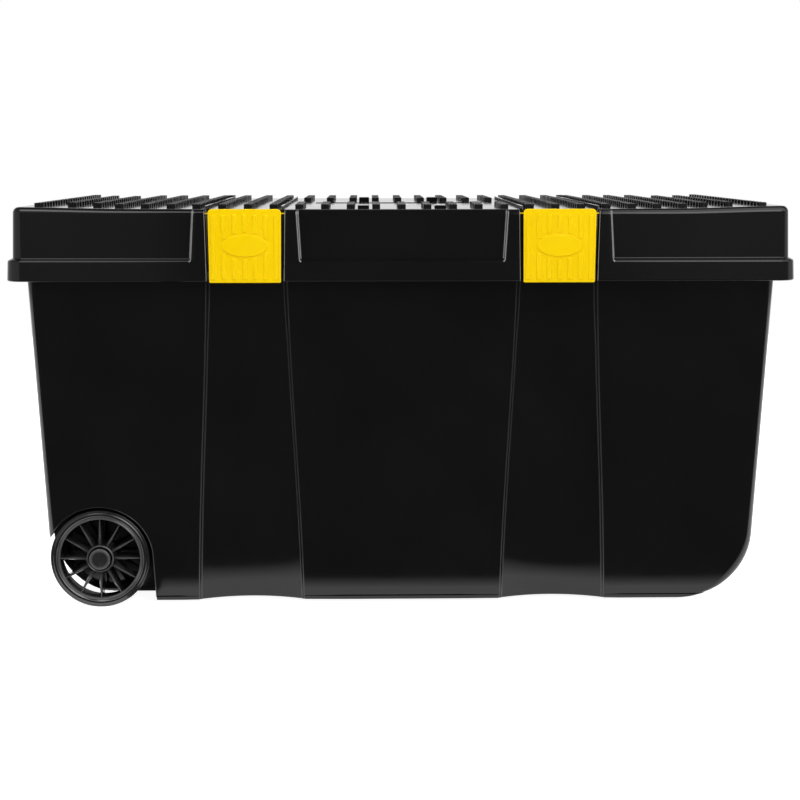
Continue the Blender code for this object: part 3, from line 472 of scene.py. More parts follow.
def column_inset(offset, z, grow):
    """How far the tub's side is sunk at a distance from a column's middle."""
    half = column_half(z) + grow
    inside = half - abs(offset)
    step = 0.0
    for start in (0.0, ledge_width(z)):
        step += COLUMN_STEP / 2 / STEP_WALL * (soft_positive(inside - start, EDGE_ROUND)
                                               - soft_positive(inside - start - STEP_WALL, EDGE_ROUND))
    depth = lerp(COLUMN_BASE_DEPTH, COLUMN_TOP_DEPTH, tub_level(z))
    across = abs(offset) / (half - ledge_width(z) - STEP_WALL)
    return step + depth * max(0.0, 1 - across ** 2)


def column_stations(z, grow):
    """Offsets from a column's middle, close together at its stepped edges."""
    half = column_half(z) + grow
    left = [-half + start + offset for start in (0.0, ledge_width(z)) for offset in STEP_STATIONS]
    return left + between(left[-1], -left[-1], ARC_STATIONS) + [-x for x in reversed(left)]


def tub_chain(half_x, radius, z, grow, sunk=True):
    """Front chain of the tub, sunk at its columns."""
    local = [(x, column_inset(x, z, grow) if sunk else 0.0) for x in column_stations(z, grow)]
    return front_chain(half_x, radius, local, TUB_FLATS)


def foot_fillet(wall):
    """Fillet at the base, smaller outside because a lip ends the wall there."""
    return BASE_FILLET - wall if wall else BASE_LIP_FILLET


def tub_sizes(z, wall):
    """Half length, half depth and base inset of the tub at a height."""
    lean = TUB_DRAFT * (RIM_BOTTOM - z)
    rise = z - FLOOR_GAP - wall
    half_x = TUB_HALF_X - lean - wall - quarter_inset(rise, END_RADIUS - wall)
    return half_x, TUB_HALF_Y - lean - wall, quarter_inset(rise, foot_fillet(wall))


def from_latch(x):
    """Distance from the middle of the nearer latch."""
    return abs(abs(x) - LATCH_X)


def tuck(x, z):
    """The panels' foot draws in to a groove over a lip; the columns' foot only draws in."""
    rise = z - FLOOR_GAP
    if rise >= TUCK_TOP:
        return 0.0
    drawn = TUCK_DEPTH * clamp((TUCK_TOP - rise) / (TUCK_TOP - TUCK_FOOT)) ** 2
    if rise >= TUCK_FOOT:
        return drawn
    level = clamp((rise - LIP_TOP) / (TUCK_FOOT - LIP_TOP))
    lip = TUCK_DEPTH * level + GROOVE_DEPTH * 4 * level * (1 - level)
    return lerp(drawn, lip, clamp((from_latch(x) - column_half(z)) / TUCK_EDGE))


def tub_ring(z, wall):
    """A ring of the tub's outside or, where a wall is given, of its inside."""
    half_x, half_y, base = tub_sizes(z, wall)
    front, back = [], []
    for x, inset in tub_chain(half_x, TUB_CORNER - wall, z, wall):
        sink = inset + base + (0.0 if wall else tuck(x, z))
        front.append((x, MID_Y - half_y + sink, z))
        back.append((x, MID_Y + half_y - sink, z))
    return close_ring(front, back)


def flange_ring(z):
    """A ring of the flange inside the lid's rim, notched behind the latches."""
    inset = LID_WALL + FLANGE_CLEARANCE
    half_x, half_y = RIM_HALF_X - inset, RIM_HALF_Y - inset
    front, back = [], []
    for x, sink in tub_chain(half_x, RIM_CORNER - inset, z, 0.0, sunk=False):
        notch = FLANGE_NOTCH if from_latch(x) < RECESS_BASE_HALF else 0.0
        front.append((x, MID_Y - half_y + sink + notch, z))
        back.append((x, MID_Y + half_y - sink, z))
    return close_ring(front, back)


def tub_levels(wall):
    """Heights of the sections, close together round the bottom."""
    base, large, small = FLOOR_GAP + wall, END_RADIUS - wall, foot_fillet(wall)
    levels = {base + small * (1 - math.cos(angle)) for angle in quarter_turn(5)}
    levels |= {base + large * (1 - math.cos(angle)) for angle in quarter_turn(14)[7:]}
    if wall:
        levels |= {base + rise for rise in INNER_RISES}
        top = FLANGE_TOP + OVERCUT
    else:
        levels |= {FLOOR_GAP + lerp(LIP_TOP, TUCK_FOOT, share) for share in LIP_SHARES}
        levels |= {FLOOR_GAP + lerp(TUCK_FOOT, TUCK_TOP, share) for share in TUCK_SHARES}
        top = FLANGE_UNDER
    start = max(levels)
    levels |= {lerp(start, top, (i + 1) / SIDE_LEVELS) for i in range(SIDE_LEVELS)}
    return sorted(levels)


def solid_from_rings(name, rings):
    bm = bmesh.new()
    loops = add_skin(bm, rings)
    add_cap(bm, loops[0])
    add_cap(bm, loops[-1])
    return object_from(bm, name)


def well_outline(grow):
    """A wheel arch and what is beyond it, in X and Z."""
    radius = WHEEL_RADIUS + ARCH_GAP + grow
    tip = ARCH_TIP_RISE + grow
    far = -TUB_HALF_X - OVERCUT
    start = math.pi - math.asin(tip / radius)
    outline = [(far, -OVERCUT), (far, WHEEL_Z + tip)]
    for step in range(WELL_STEPS + 1):
        angle = start * (1 - step / WELL_STEPS)
        outline.append((WHEEL_X + radius * math.cos(angle), WHEEL_Z + radius * math.sin(angle)))
    outline.append((WHEEL_X + radius + ARCH_FLARE, -OVERCUT))
    return outline


def wells_cutter(name, grow):
    bm = bmesh.new()
    for side in (-1, 1):
        place = along_y(MID_Y + side * (TUB_HALF_Y + OVERCUT), MID_Y + side * (WELL_HALF - grow))
        add_prism(bm, well_outline(grow), place)
    return object_from(bm, name)


def well_edges_cutter(name):
    """Rounds the lower edge between the wells, where the tub's middle comes down."""
    bm = bmesh.new()
    radius, below = WELL_EDGE_FILLET, FLOOR_GAP - EDGE_CUT_BELOW
    place = along_x(-TUB_HALF_X - OVERCUT, WHEEL_X + WHEEL_RADIUS + ARCH_GAP + ARCH_FLARE)
    for side in (-1, 1):
        edge = MID_Y + side * (WELL_HALF + EDGE_CUT_ASIDE)
        outline = [(edge, below), (edge, FLOOR_GAP + radius)]
        outline += [(MID_Y + side * (WELL_HALF - radius * (1 - math.cos(angle))),
                     FLOOR_GAP + radius * (1 - math.sin(angle))) for angle in quarter_turn(8)]
        outline.append((MID_Y + side * (WELL_HALF - radius), below))
        add_prism(bm, outline, place)
    return object_from(bm, name)


def channel_cutter(name, reach, half):
    """A box round the axle, open below."""
    bm = bmesh.new()
    low = (WHEEL_X - reach, MID_Y - half, -OVERCUT)
    high = (WHEEL_X + reach, MID_Y + half, WHEEL_Z + reach)
    size = [b - a for a, b in zip(low, high)]
    middle = [(a + b) / 2 for a, b in zip(low, high)]
    bmesh.ops.create_cube(bm, size=1, matrix=Matrix.Translation(middle) @ Matrix.Diagonal((*size, 1)))
    return object_from(bm, name)


def wall_y(z, side):
    """The tub's side plane at a height, with its base fillet."""
    _, half_y, base = tub_sizes(z, 0.0)
    return MID_Y + side * (half_y - base)


def make_arch_lips():
    """A fine rolled edge round each wheel arch."""
    bm = bmesh.new()
    places = well_outline(0.0)[2:-1]
    foot_x = WHEEL_X + WHEEL_RADIUS + ARCH_GAP
    for step in range(1, FOOT_STEPS + 1):
        z = lerp(WHEEL_Z, FLOOR_GAP + BASE_FILLET, step / FOOT_STEPS)
        places.append((foot_x + ARCH_FLARE * ((WHEEL_Z - z) / (WHEEL_Z + OVERCUT)), z))
    for side in (-1, 1):
        add_tube(bm, [Vector((x, wall_y(z, side), z)) for x, z in places], ARCH_BEAD)
    return object_from(bm, "tub_arch_lips")


def make_tub():
    rings = [tub_ring(z, 0.0) for z in tub_levels(0.0)]
    rings += [flange_ring(FLANGE_UNDER), flange_ring(FLANGE_TOP)]
    tub = solid_from_rings("tub_shell", rings)
    cavity = solid_from_rings("tub_cavity", [tub_ring(z, TUB_WALL) for z in tub_levels(TUB_WALL)])
    cut(cavity, wells_cutter("well_walls", TUB_WALL))
    cut(cavity, channel_cutter("channel_walls", CHANNEL_HALF + TUB_WALL, WELL_HALF))
    cut(tub, wells_cutter("wells", 0.0))
    cut(tub, well_edges_cutter("well_edges"))
    cut(tub, channel_cutter("channel", CHANNEL_HALF, WELL_HALF - TUB_WALL))
    cut(tub, cavity)
    smooth(tub.data, 30)
    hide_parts("tub")
    return tub


# Lid

LID_FLATS = 7
BOSS_FLARE = 0.0014
BOSS_SHARES = (0.3, 0.7)
RECESS_SHARES = (0.17, 0.34, 0.5)
SAG_END_Y = 0.02
LIFT_START = 0.34
LIFT_LENGTH = 0.12
LEAST_CORNER = 0.005
FOOT_LEAD = 0.004
TOP_LEAD = 0.02
INNER_STEP = 0.001
INNER_LEAN = (0.0011, 0.0023)


def step_profile(depth, radius=0.0016, draft=0.0004, steps=4):
    """Points (dx, dy) across a wall that goes down from 0 to depth along +x."""
    limit = min(radius, depth / 2.2)
    angles = quarter_turn(steps)
    points = [(-radius * (1 - math.sin(angle)), limit * (1 - math.cos(angle))) for angle in angles]
    return points + [(draft + radius * (1 - math.cos(angle)), depth - limit * (1 - math.sin(angle)))
                     for angle in angles]


def recess_half(z, grow):
    slope = (RECESS_TOP_HALF - RECESS_BASE_HALF) / (LID_TOP - RIM_BOTTOM)
    return RECESS_BASE_HALF + slope * (z - RIM_BOTTOM) + grow


def crown_level(z):
    """0 at the rim's top, 1 at the lid's top."""
    return clamp((z - RIM_TOP) / (LID_TOP - RIM_TOP))


def boss_half(z):
    level = crown_level(z)
    return lerp(BOSS_BASE_HALF, BOSS_TOP_HALF, level) + BOSS_FLARE * (1 - level) ** 6


def lid_chain(half_x, radius, z, crown, boss, wall):
    """Front chain of the lid, with crown, boss and recess depths."""
    recess = RECESS_DEPTH + wall
    half_boss, half_recess = boss_half(z), recess_half(z, wall)
    outer = step_profile(max(crown - boss, 0.0))
    inner = step_profile(recess - boss, RECESS_EDGE_FILLET)
    local = [(-half_boss - dx, boss + dy) for dx, dy in reversed(outer)]
    local += [(lerp(-half_boss, -half_recess, share), boss) for share in BOSS_SHARES]
    local += [(-half_recess + dx, boss + dy) for dx, dy in inner]
    local += [(lerp(-half_recess, half_recess, share), recess) for share in RECESS_SHARES]
    local += [(-x, inset) for x, inset in reversed(local[:-1])]
    return front_chain(half_x, radius, local, LID_FLATS, crown)


def lid_dip(x, y, z):
    """The top's front edge sags between its ends, which stand a little high."""
    near = clamp((SAG_END_Y - y) / (SAG_END_Y - RIM_FRONT))
    lift = LID_END_LIFT[x > 0] * ease((abs(x) - LIFT_START) / LIFT_LENGTH)
    return crown_level(z) * (lift - LID_SAG * near ** 2 * max(0.0, 1 - (x / RIM_HALF_X) ** 2))


def settle(bm):
    """Let what stands on the lid follow its top."""
    for vert in bm.verts:
        x, y, z = vert.co
        vert.co.z = min(z + lid_dip(x, y, z), HIGHEST)


def lid_ring(z, crown, boss, wall):
    """A ring of the lid's outside or, where a wall is given, of its inside."""
    half_x = RIM_HALF_X - crown
    radius = max(RIM_CORNER - crown, LEAST_CORNER)
    front, back = [], []
    for x, inset in lid_chain(half_x, radius, z, crown, boss, wall):
        plain = crown + quarter_inset(half_x - abs(x), radius)
        for points, y in ((front, RIM_FRONT + inset), (back, RIM_BACK - plain)):
            points.append((x, y, z + lid_dip(x, y, z)))
    return close_ring(front, back)


def boss_inset(z):
    """How far the bosses' front stands in, with the same round at the top as the crown."""
    rise = z - (LID_TOP - LID_TOP_FILLET)
    draft = RIM_DRAFT * clamp((z - RIM_BOTTOM) / RIM_BAND)
    if rise <= 0:
        return draft
    return draft + LID_TOP_FILLET - math.sqrt(max(0.0, LID_TOP_FILLET ** 2 - rise ** 2))


def lid_outer_levels():
    """(height, crown inset, boss inset) of the lid's outside, bottom to top."""
    top_inset = LID_STEP + LID_DRAFT * (LID_TOP - SHELF_TOP)
    corners = [(FOOT_LEAD, RIM_BOTTOM), (0.0, RIM_BOTTOM), (RIM_DRAFT, RIM_EDGE),
               (LID_STEP, SHELF_TOP), (top_inset, LID_TOP), (top_inset + TOP_LEAD, LID_TOP)]
    line = rounded_line(corners, (RIM_FOOT_FILLET, RIM_EDGE_FILLET, SHELF_FILLET, LID_TOP_FILLET))
    foot = RIM_BOTTOM + RIM_FOOT_FILLET
    return [(z, inset, inset if z < foot else min(inset, boss_inset(z))) for inset, z in line[1:-1]]


def make_lid():
    bm = bmesh.new()
    outer = [lid_ring(z, crown, boss, 0.0) for z, crown, boss in lid_outer_levels()]
    shelf, step, top = RIM_TOP - LID_WALL, LID_STEP + LID_WALL, LID_TOP - LID_WALL
    levels = ((RIM_BOTTOM, LID_WALL), (shelf - INNER_STEP, LID_WALL), (shelf, step),
              (lerp(shelf, top, 0.5), step + INNER_LEAN[0]), (top, step + INNER_LEAN[1]))
    inner = [lid_ring(z, crown, crown, LID_WALL) for z, crown in levels]
    outside, inside = add_skin(bm, outer), add_skin(bm, inner)
    add_cap(bm, outside[-1], LID_TOP)
    add_cap(bm, inside[-1], top)
    join_loops(bm, (inside[0], outside[0]))
    lid = object_from(bm, "lid_shell", 40)
    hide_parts("lid")
    return lid


# Ribs and other forms on the lid

RIB_FRONT = RIM_FRONT + 0.032
RIB_BACK = RIM_BACK - 0.032
RIB_BREAK_START = RIB_FRONT + 0.105
RIB_BREAK_END = RIB_BREAK_START + 0.175
RIB_TOP = LID_TOP + RIB_HEIGHT
RIB_FOOT = LID_TOP - 0.001
SHORT_RIBS = (12, 13)
SHORT_FRONT = RIB_FRONT + 0.031
SHORT_BACK = RIB_BACK - 0.053
OUTER_RIB_SHIFT = 0.0035
POST_PITCH = 0.0181
POST_LENGTH = 0.0062
POST_START = 0.0125
POST_STOP = 0.004
POST_CHAMFER = 0.0003
RIDGE_PITCH = 0.0030
RIDGE_LENGTH = 0.0010
RIDGE_START = 0.0045
RIDGE_STOP = 0.002
RIDGE_DEPTH = 0.001
RIDGE_CHAMFER = 0.00015
TOP_PLATE = (0.0012, 0.0004)
CORE_SETBACK = 0.0012
WINDOW_DEPTH = 0.0019
TOP_NOTCH = 0.0012
END_BAR_LENGTH = 0.0026
END_BAR_HALF = 0.0008
END_BAR_OFFSET = 0.00235
END_BAR_CHAMFER = 0.0005
END_WEB_SETBACK = 0.0011


def add_core(bm, x, start, stop):
    """The plain bar inside a rib, which shows as dark windows between its posts; its material is a
    darker copy of the rib plastic, painted shade there.
    """
    add_bar(bm, x, RIB_WIDTH / 2 - WINDOW_DEPTH, (start + CORE_SETBACK, stop - CORE_SETBACK),
            (RIB_FOOT, RIB_TOP - TOP_NOTCH))


def add_rib(bm, x, start, stop, fine):
    """The posts and end bars of a rib; a fine one has a closed, ridged top."""
    half = RIB_WIDTH / 2
    tall = (RIB_FOOT, RIB_TOP)
    for low, high in ((start, start + END_BAR_LENGTH), (stop - END_BAR_LENGTH, stop)):
        add_bar(bm, x, half, (low + END_WEB_SETBACK, high - END_WEB_SETBACK), tall)
        for offset in (-END_BAR_OFFSET, END_BAR_OFFSET):
            add_bar(bm, x + offset, END_BAR_HALF, (low, high), tall, END_BAR_CHAMFER)
    for y in places_along(start + POST_START, stop - POST_STOP, POST_PITCH):
        add_bar(bm, x, half, (y - POST_LENGTH / 2, y + POST_LENGTH / 2), tall, POST_CHAMFER)
    if fine:
        add_bar(bm, x, half, (start + CORE_SETBACK, stop - CORE_SETBACK),
                [RIB_TOP - depth for depth in TOP_PLATE])
        for y in places_along(start + RIDGE_START, stop - RIDGE_STOP, RIDGE_PITCH):
            add_bar(bm, x, half, (y - RIDGE_LENGTH / 2, y + RIDGE_LENGTH / 2),
                    (RIB_TOP - RIDGE_DEPTH, RIB_TOP), RIDGE_CHAMFER)


def rib_spans():
    """Place, start, stop and kind of every rib."""
    spans = []
    for index in range(-RIBS_EACH_SIDE, RIBS_EACH_SIDE + 1):
        x = index * RIB_PITCH
        if abs(index) == RIBS_EACH_SIDE:
            x += math.copysign(OUTER_RIB_SHIFT, x)
        if abs(index) <= RIB_BREAK_EACH_SIDE:
            spans.append((x, RIB_FRONT, RIB_BREAK_START, True))
            spans.append((x, RIB_BREAK_END, RIB_BACK, False))
        elif abs(index) in SHORT_RIBS:
            spans.append((x, SHORT_FRONT, SHORT_BACK, False))
        else:
            spans.append((x, RIB_FRONT, RIB_BACK, False))
    return spans


def make_ribs():
    bm = bmesh.new()
    for span in rib_spans():
        add_rib(bm, *span)
    settle(bm)
    return object_from(bm, "lid_ribs", 25)


def make_rib_cores():
    bm = bmesh.new()
    for x, start, stop, _ in rib_spans():
        add_core(bm, x, start, stop)
    settle(bm)
    return object_from(bm, "lid_rib_cores", 25)


RAILS = (0.1465, 0.2390)
RAIL_START = RIM_FRONT + 0.0125
RAIL_STOP = 0.200
RAIL_TOP = LID_TOP + 0.0038
RAIL_HALF = 0.0011
RAIL_THICKNESS = 0.0008
WEB_HALF = 0.0003
WEB_TOP = RAIL_TOP - 0.0004
WEB_CHAMFER = 0.0001
WEB_RIDGE_HALF = 0.0010
WEB_RIDGE_REACH = 0.0004
WEB_RIDGE_START = RAIL_START + 0.002
WEB_RIDGE_STOP = RAIL_STOP - 0.001
WEB_RIDGE_PITCH = 0.0065


def add_rail(bm, x):
    """A thin smooth rail on a web with upright ridges."""
    add_bar(bm, x, RAIL_HALF, (RAIL_START, RAIL_STOP), (RAIL_TOP - RAIL_THICKNESS, RAIL_TOP))
    add_bar(bm, x, WEB_HALF, (RAIL_START, RAIL_STOP), (RIB_FOOT, WEB_TOP), WEB_CHAMFER)
    for y in places_along(WEB_RIDGE_START, WEB_RIDGE_STOP, WEB_RIDGE_PITCH):
        add_bar(bm, x, WEB_RIDGE_HALF, (y - WEB_RIDGE_REACH, y + WEB_RIDGE_REACH),
                (RIB_FOOT, WEB_TOP), WEB_CHAMFER)


CLEAT_X = 1.5 * RIB_PITCH
CLEATS = ((RIB_FRONT, 0.004), (RIB_BREAK_END, 0.0058))
CLEAT_HALF = 0.007
CLEAT_LENGTH = 0.030
CLEAT_CHAMFER = 0.0008
BLOCK_X = 0.2425
BLOCK_HALF = 0.0042
BLOCK_Y = (RAIL_STOP, 0.210)
BLOCK_HEIGHT = 0.0054
BLOCK_CHAMFER = 0.0004
CROSS_LINE_HALF = 0.112
CROSS_LINE_Y = (-0.0267, -0.0257)
CROSS_LINE_HEIGHT = 0.0007
LUGS = ((-LATCH_X - RECESS_BASE_HALF, 1, 0.4265), (LATCH_X + RECESS_BASE_HALF, -1, 0.4385))
LUG_ROOT = 0.001
LUG_REACH = 0.0018
LUG_Y = (RIM_FRONT + 0.0045, RIM_FRONT + 0.012)
LUG_HEIGHT = 0.010
LUG_CHAMFER = 0.0005


def make_lid_details():
    """Cleats, rails, a cross line, end blocks and the latches' snap lugs."""
    bm = bmesh.new()
    for side in (-1, 1):
        for start, height in CLEATS:
            add_bar(bm, side * CLEAT_X, CLEAT_HALF, (start, start + CLEAT_LENGTH),
                    (RIB_FOOT, LID_TOP + height), CLEAT_CHAMFER)
        for rail in RAILS:
            add_rail(bm, side * rail)
        add_bar(bm, side * BLOCK_X, BLOCK_HALF, BLOCK_Y, (RIB_FOOT, LID_TOP + BLOCK_HEIGHT),
                BLOCK_CHAMFER)
    add_bar(bm, 0.0, CROSS_LINE_HALF, CROSS_LINE_Y, (RIB_FOOT, LID_TOP + CROSS_LINE_HEIGHT))
    settle(bm)
    for x, side, low in LUGS:
        near, far = sorted((x - side * LUG_ROOT, x + side * LUG_REACH))
        add_box(bm, (near, LUG_Y[0], low), (far, LUG_Y[1], low + LUG_HEIGHT), LUG_CHAMFER)
    return object_from(bm, "lid_details", 25)


# Hinge knuckles and feet

HINGE_STATIONS = (-0.320, 0.0, 0.320)
KNUCKLE_RADIUS = 0.0075
KNUCKLE_STEPS = 16
KNUCKLE_HALF = 0.013
KNUCKLE_GAP = 0.001
KNUCKLE_SIDE = 0.012
KNUCKLE_CHAMFER = 0.0008
TUB_ROOT = 0.001
LID_ROOT = 0.0015
LID_ROOT_TOP = RIM_TOP - 0.004
LID_ROOT_SLOPE = 0.0065
LID_ROOT_OUT = 0.001
FOOT_X = 0.300
FOOT_Y = 0.165
FOOT_HALF = (0.030, 0.015)
FOOT_HEIGHT = 0.0103
FOOT_CHAMFER = 0.002


def make_tub_knuckles():
    bm = bmesh.new()
    root = wall_y(HINGE_Z, 1) - TUB_ROOT
    outline = [(root, HINGE_Z - KNUCKLE_RADIUS)]
    outline += arc(HINGE_Y, HINGE_Z, KNUCKLE_RADIUS, -90, 180, KNUCKLE_STEPS)
    outline.append((root, HINGE_Z + KNUCKLE_RADIUS))
    near = KNUCKLE_HALF + KNUCKLE_GAP
    for station in HINGE_STATIONS:
        for side in (-1, 1):
            place = along_x(station + side * near, station + side * (near + KNUCKLE_SIDE))
            add_prism(bm, outline, place, KNUCKLE_CHAMFER)
    return object_from(bm, "tub_knuckles", 30)


def make_lid_knuckles():
    bm = bmesh.new()
    outline = [(RIM_BACK - LID_ROOT, LID_ROOT_TOP)]
    outline += arc(HINGE_Y, HINGE_Z, KNUCKLE_RADIUS, -180, 180, KNUCKLE_STEPS)
    outline += [(HINGE_Y + KNUCKLE_RADIUS, LID_ROOT_TOP - LID_ROOT_SLOPE),
                (RIM_BACK + LID_ROOT_OUT, LID_ROOT_TOP)]
    for station in HINGE_STATIONS:
        place = along_x(station - KNUCKLE_HALF, station + KNUCKLE_HALF)
        add_prism(bm, outline, place, KNUCKLE_CHAMFER)
    return object_from(bm, "lid_knuckles", 30)


def make_feet():
    bm = bmesh.new()
    for side in (-1, 1):
        y = MID_Y + side * FOOT_Y
        add_bar(bm, FOOT_X, FOOT_HALF[0], (y - FOOT_HALF[1], y + FOOT_HALF[1]), (0.0, FOOT_HEIGHT),
                FOOT_CHAMFER)
    return object_from(bm, "tub_feet", 30)


# Latches

LATCH_FACE = LATCH_LOW.y + 0.0013
LATCH_BACK = LATCH_FACE + 0.0034
LATCH_DEEP = RIM_FRONT + 0.0075
LATCH_TOP = LATCH_HIGH.z
LATCH_BASE = LATCH_LOW.z
LATCH_TOP_GAP = 0.0042
LATCH_BASE_GAP = 0.0034
LATCH_TOP_RADIUS = 0.005
LATCH_BASE_RADIUS = 0.0015
LATCH_ROUND = 0.0009
LATCH_EMBED = 0.001
RELIEF = 0.0011
RELIEF_ROUND = 0.0008
BAR_WIDTH = 0.0054
BAR_PITCH = 0.0127
BARS_EACH_SIDE = 3
BAR_LOW = LATCH_BASE + 0.0042
BAR_HIGH = LATCH_TOP - 0.0070
OVAL_HALF_X = 0.0275
OVAL_HALF_Z = 0.01325
OVAL_Z = LATCH_TOP - 0.0442
OVAL_CLEAR = 0.003
FLANGE_WALL = 0.003
FLANGE_INSET = 0.0005
FLANGE_LOW = LATCH_BASE + 0.004
FLANGE_HIGH = LATCH_TOP - 0.005
HOOK_HALF = 0.030
HOOK_TOP = FLANGE_UNDER - 0.0017
HOOK_HEIGHT = 0.0065
ROD_REACH = RECESS_TOP_HALF + 0.0032
ROD_RADIUS = 0.0008


def latch_half(z):
    share = (z - LATCH_BASE) / (LATCH_TOP - LATCH_BASE)
    return lerp(RECESS_BASE_HALF - LATCH_BASE_GAP, RECESS_TOP_HALF - LATCH_TOP_GAP, share)


def latch_outline():
    """The flap's outline, with larger corners at its top."""
    points = []
    for side, upper, start in ((1, True, 0), (-1, True, 90), (-1, False, 180), (1, False, 270)):
        radius = LATCH_TOP_RADIUS if upper else LATCH_BASE_RADIUS
        z = LATCH_TOP - radius if upper else LATCH_BASE + radius
        points += arc(side * (latch_half(z) - radius), z, radius, start, 90, 6)
    return points


def add_relief(bm, centre):
    """The blank oval and the upright bars that stand out from a flap's face."""
    place = along_y(LATCH_FACE - RELIEF, LATCH_FACE + LATCH_EMBED, centre)
    oval = [(OVAL_HALF_X * math.cos(a), OVAL_Z + OVAL_HALF_Z * math.sin(a)) for a in full_turn(64)]
    add_prism(bm, oval, place, RELIEF_ROUND, 3)
    for index in range(-BARS_EACH_SIDE, BARS_EACH_SIDE + 1):
        x = index * BAR_PITCH
        share = abs(x) / (OVAL_HALF_X + OVAL_CLEAR)
        spans = [(BAR_LOW, BAR_HIGH)]
        if share < 1:
            clear = (OVAL_HALF_Z + OVAL_CLEAR) * math.sqrt(1 - share ** 2)
            spans = [(BAR_LOW, OVAL_Z - clear), (OVAL_Z + clear, BAR_HIGH)]
        left, right = x - BAR_WIDTH / 2, x + BAR_WIDTH / 2
        for start, stop in spans:
            bar = [(left, start), (right, start), (right, stop), (left, stop)]
            add_prism(bm, bar, place, RELIEF_ROUND, 3)


def make_latch(name, centre, body):
    """A flap with shallow bars and a blank oval, side flanges, hook and trunnions."""
    bm = bmesh.new()
    add_prism(bm, latch_outline(), along_y(LATCH_FACE, LATCH_BACK, centre), LATCH_ROUND, 3)
    add_relief(bm, centre)
    inner = LATCH_BACK - LATCH_EMBED
    for side in (-1, 1):
        low_x = side * (latch_half(LATCH_BASE) - FLANGE_INSET)
        high_x = side * (latch_half(LATCH_TOP) - FLANGE_INSET)
        flange = [(low_x, FLANGE_LOW), (low_x - side * FLANGE_WALL, FLANGE_LOW),
                  (high_x - side * FLANGE_WALL, FLANGE_HIGH), (high_x, FLANGE_HIGH)]
        add_prism(bm, flange, along_y(inner, LATCH_DEEP, centre), 0.0005)
    add_bar(bm, centre, HOOK_HALF, (inner, LATCH_DEEP), (HOOK_TOP - HOOK_HEIGHT, HOOK_TOP), 0.0006)
    joint = next(j for j in frame["joints"] if j["child"] == body)
    pivot = joint["pos_m"]
    rod = [(pivot[1] + ROD_RADIUS * math.cos(a), pivot[2] + ROD_RADIUS * math.sin(a))
           for a in full_turn(24)]
    add_prism(bm, rod, along_x(centre - ROD_REACH, centre + ROD_REACH), ROD_RADIUS / 2)
    latch = object_from(bm, name, 34)
    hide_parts(body)
    return latch


# Wheels, whose profiles are (radius, distance from the well's wall)

FACE_SETBACK = 0.0008
RIM_INNER = 0.0504
BARREL_INNER = 0.0535
HUB_RADIUS = 0.0176
HUB_INNER = 0.0151
CAP_RADIUS = 0.01345
CAP_TOP = 0.0457
SPOKE_SECTIONS = ((HUB_RADIUS - 0.0012, 0.0052, 0.0012), (0.030, 0.0042, 0.0018),
                  (RIM_INNER + 0.0012, 0.0020, 0.0030))


def make_wheel(end_name, side):
    """Rim, barrel, spokes and hub of one wheel; side is -1 at the front."""
    centre = (WHEEL_X, MID_Y + side * WELL_HALF, WHEEL_Z)
    near, far = WELL_GAP, WELL_GAP + WHEEL_WIDTH
    face = far - FACE_SETBACK

    bm = bmesh.new()
    tyre = [(0.0563, far - 0.0012), (0.0567, far - 0.0002), (0.0575, far), (0.0584, far - 0.0003),
            (0.0589, far - 0.0010), (0.0602, far - 0.0012), (0.0613, far - 0.0013),
            (0.0621, far - 0.0017), (0.0625, far - 0.0026), (WHEEL_RADIUS, far - 0.0050),
            (WHEEL_RADIUS, near + 0.0050), (0.0621, near + 0.0014), (0.0613, near + 0.0004),
            (0.0600, near), (0.0563, near)]
    add_lathe(bm, tyre, centre, side, 128)
    tyre_obj = object_from(bm, "tread_" + end_name, 50)
    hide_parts("tyre_" + end_name)

    bm = bmesh.new()
    rim = [(RIM_INNER, face - 0.0010), (RIM_INNER + 0.0005, face - 0.0002),
           (RIM_INNER + 0.0013, face), (RIM_INNER + 0.0021, face - 0.0003),
           (RIM_INNER + 0.0026, face - 0.0012), (RIM_INNER + 0.0030, face - 0.0014),
           (RIM_INNER + 0.0036, face - 0.0010), (0.0549, face - 0.0004), (0.0556, face - 0.0006),
           (0.0560, face - 0.0014), (0.0560, near + 0.001), (BARREL_INNER, near + 0.001),
           (BARREL_INNER, face - 0.0125), (0.0522, face - 0.0115), (0.0518, face - 0.0065),
           (RIM_INNER, face - 0.0055)]
    add_lathe(bm, rim, centre, side, 128)
    hub = [(0.0062, 0.0341), (0.0110, 0.0341), (0.0110, far - 0.017), (HUB_INNER, far - 0.017),
           (HUB_INNER, face - 0.0012), (HUB_INNER + 0.0005, face - 0.0004), (HUB_INNER + 0.0013, face),
           (HUB_RADIUS - 0.0009, face - 0.0003), (HUB_RADIUS, face - 0.0014),
           (HUB_RADIUS, near + 0.002), (HUB_INNER, near + 0.002), (HUB_INNER, far - 0.023),
           (0.0110, far - 0.023), (0.0110, 0.0021), (0.0062, 0.0021)]
    add_lathe(bm, hub, centre, side, 64)
    for angle in full_turn(SPOKES):
        add_spoke(bm, centre, side, angle, near, face)
    wheel = object_from(bm, "rim_" + end_name, 30)
    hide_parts("wheel_" + end_name)

    bm = bmesh.new()
    cap = [(0.0, CAP_TOP - 0.0012), (0.0050, CAP_TOP - 0.0011), (0.0090, CAP_TOP - 0.0007),
           (0.0112, CAP_TOP - 0.0001), (0.0122, CAP_TOP), (0.0129, CAP_TOP - 0.0004),
           (CAP_RADIUS - 0.0001, CAP_TOP - 0.0012), (CAP_RADIUS, CAP_TOP - 0.0024),
           (CAP_RADIUS, far - 0.0167), (0.0113, far - 0.0167), (0.0113, 0.0410), (0.0, 0.0428)]
    add_lathe(bm, cap, centre, side, 64, closed=False)
    cap_obj = object_from(bm, "cap_" + end_name, 50)
    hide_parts("hub_cap_" + end_name)
    return tyre_obj, wheel, cap_obj


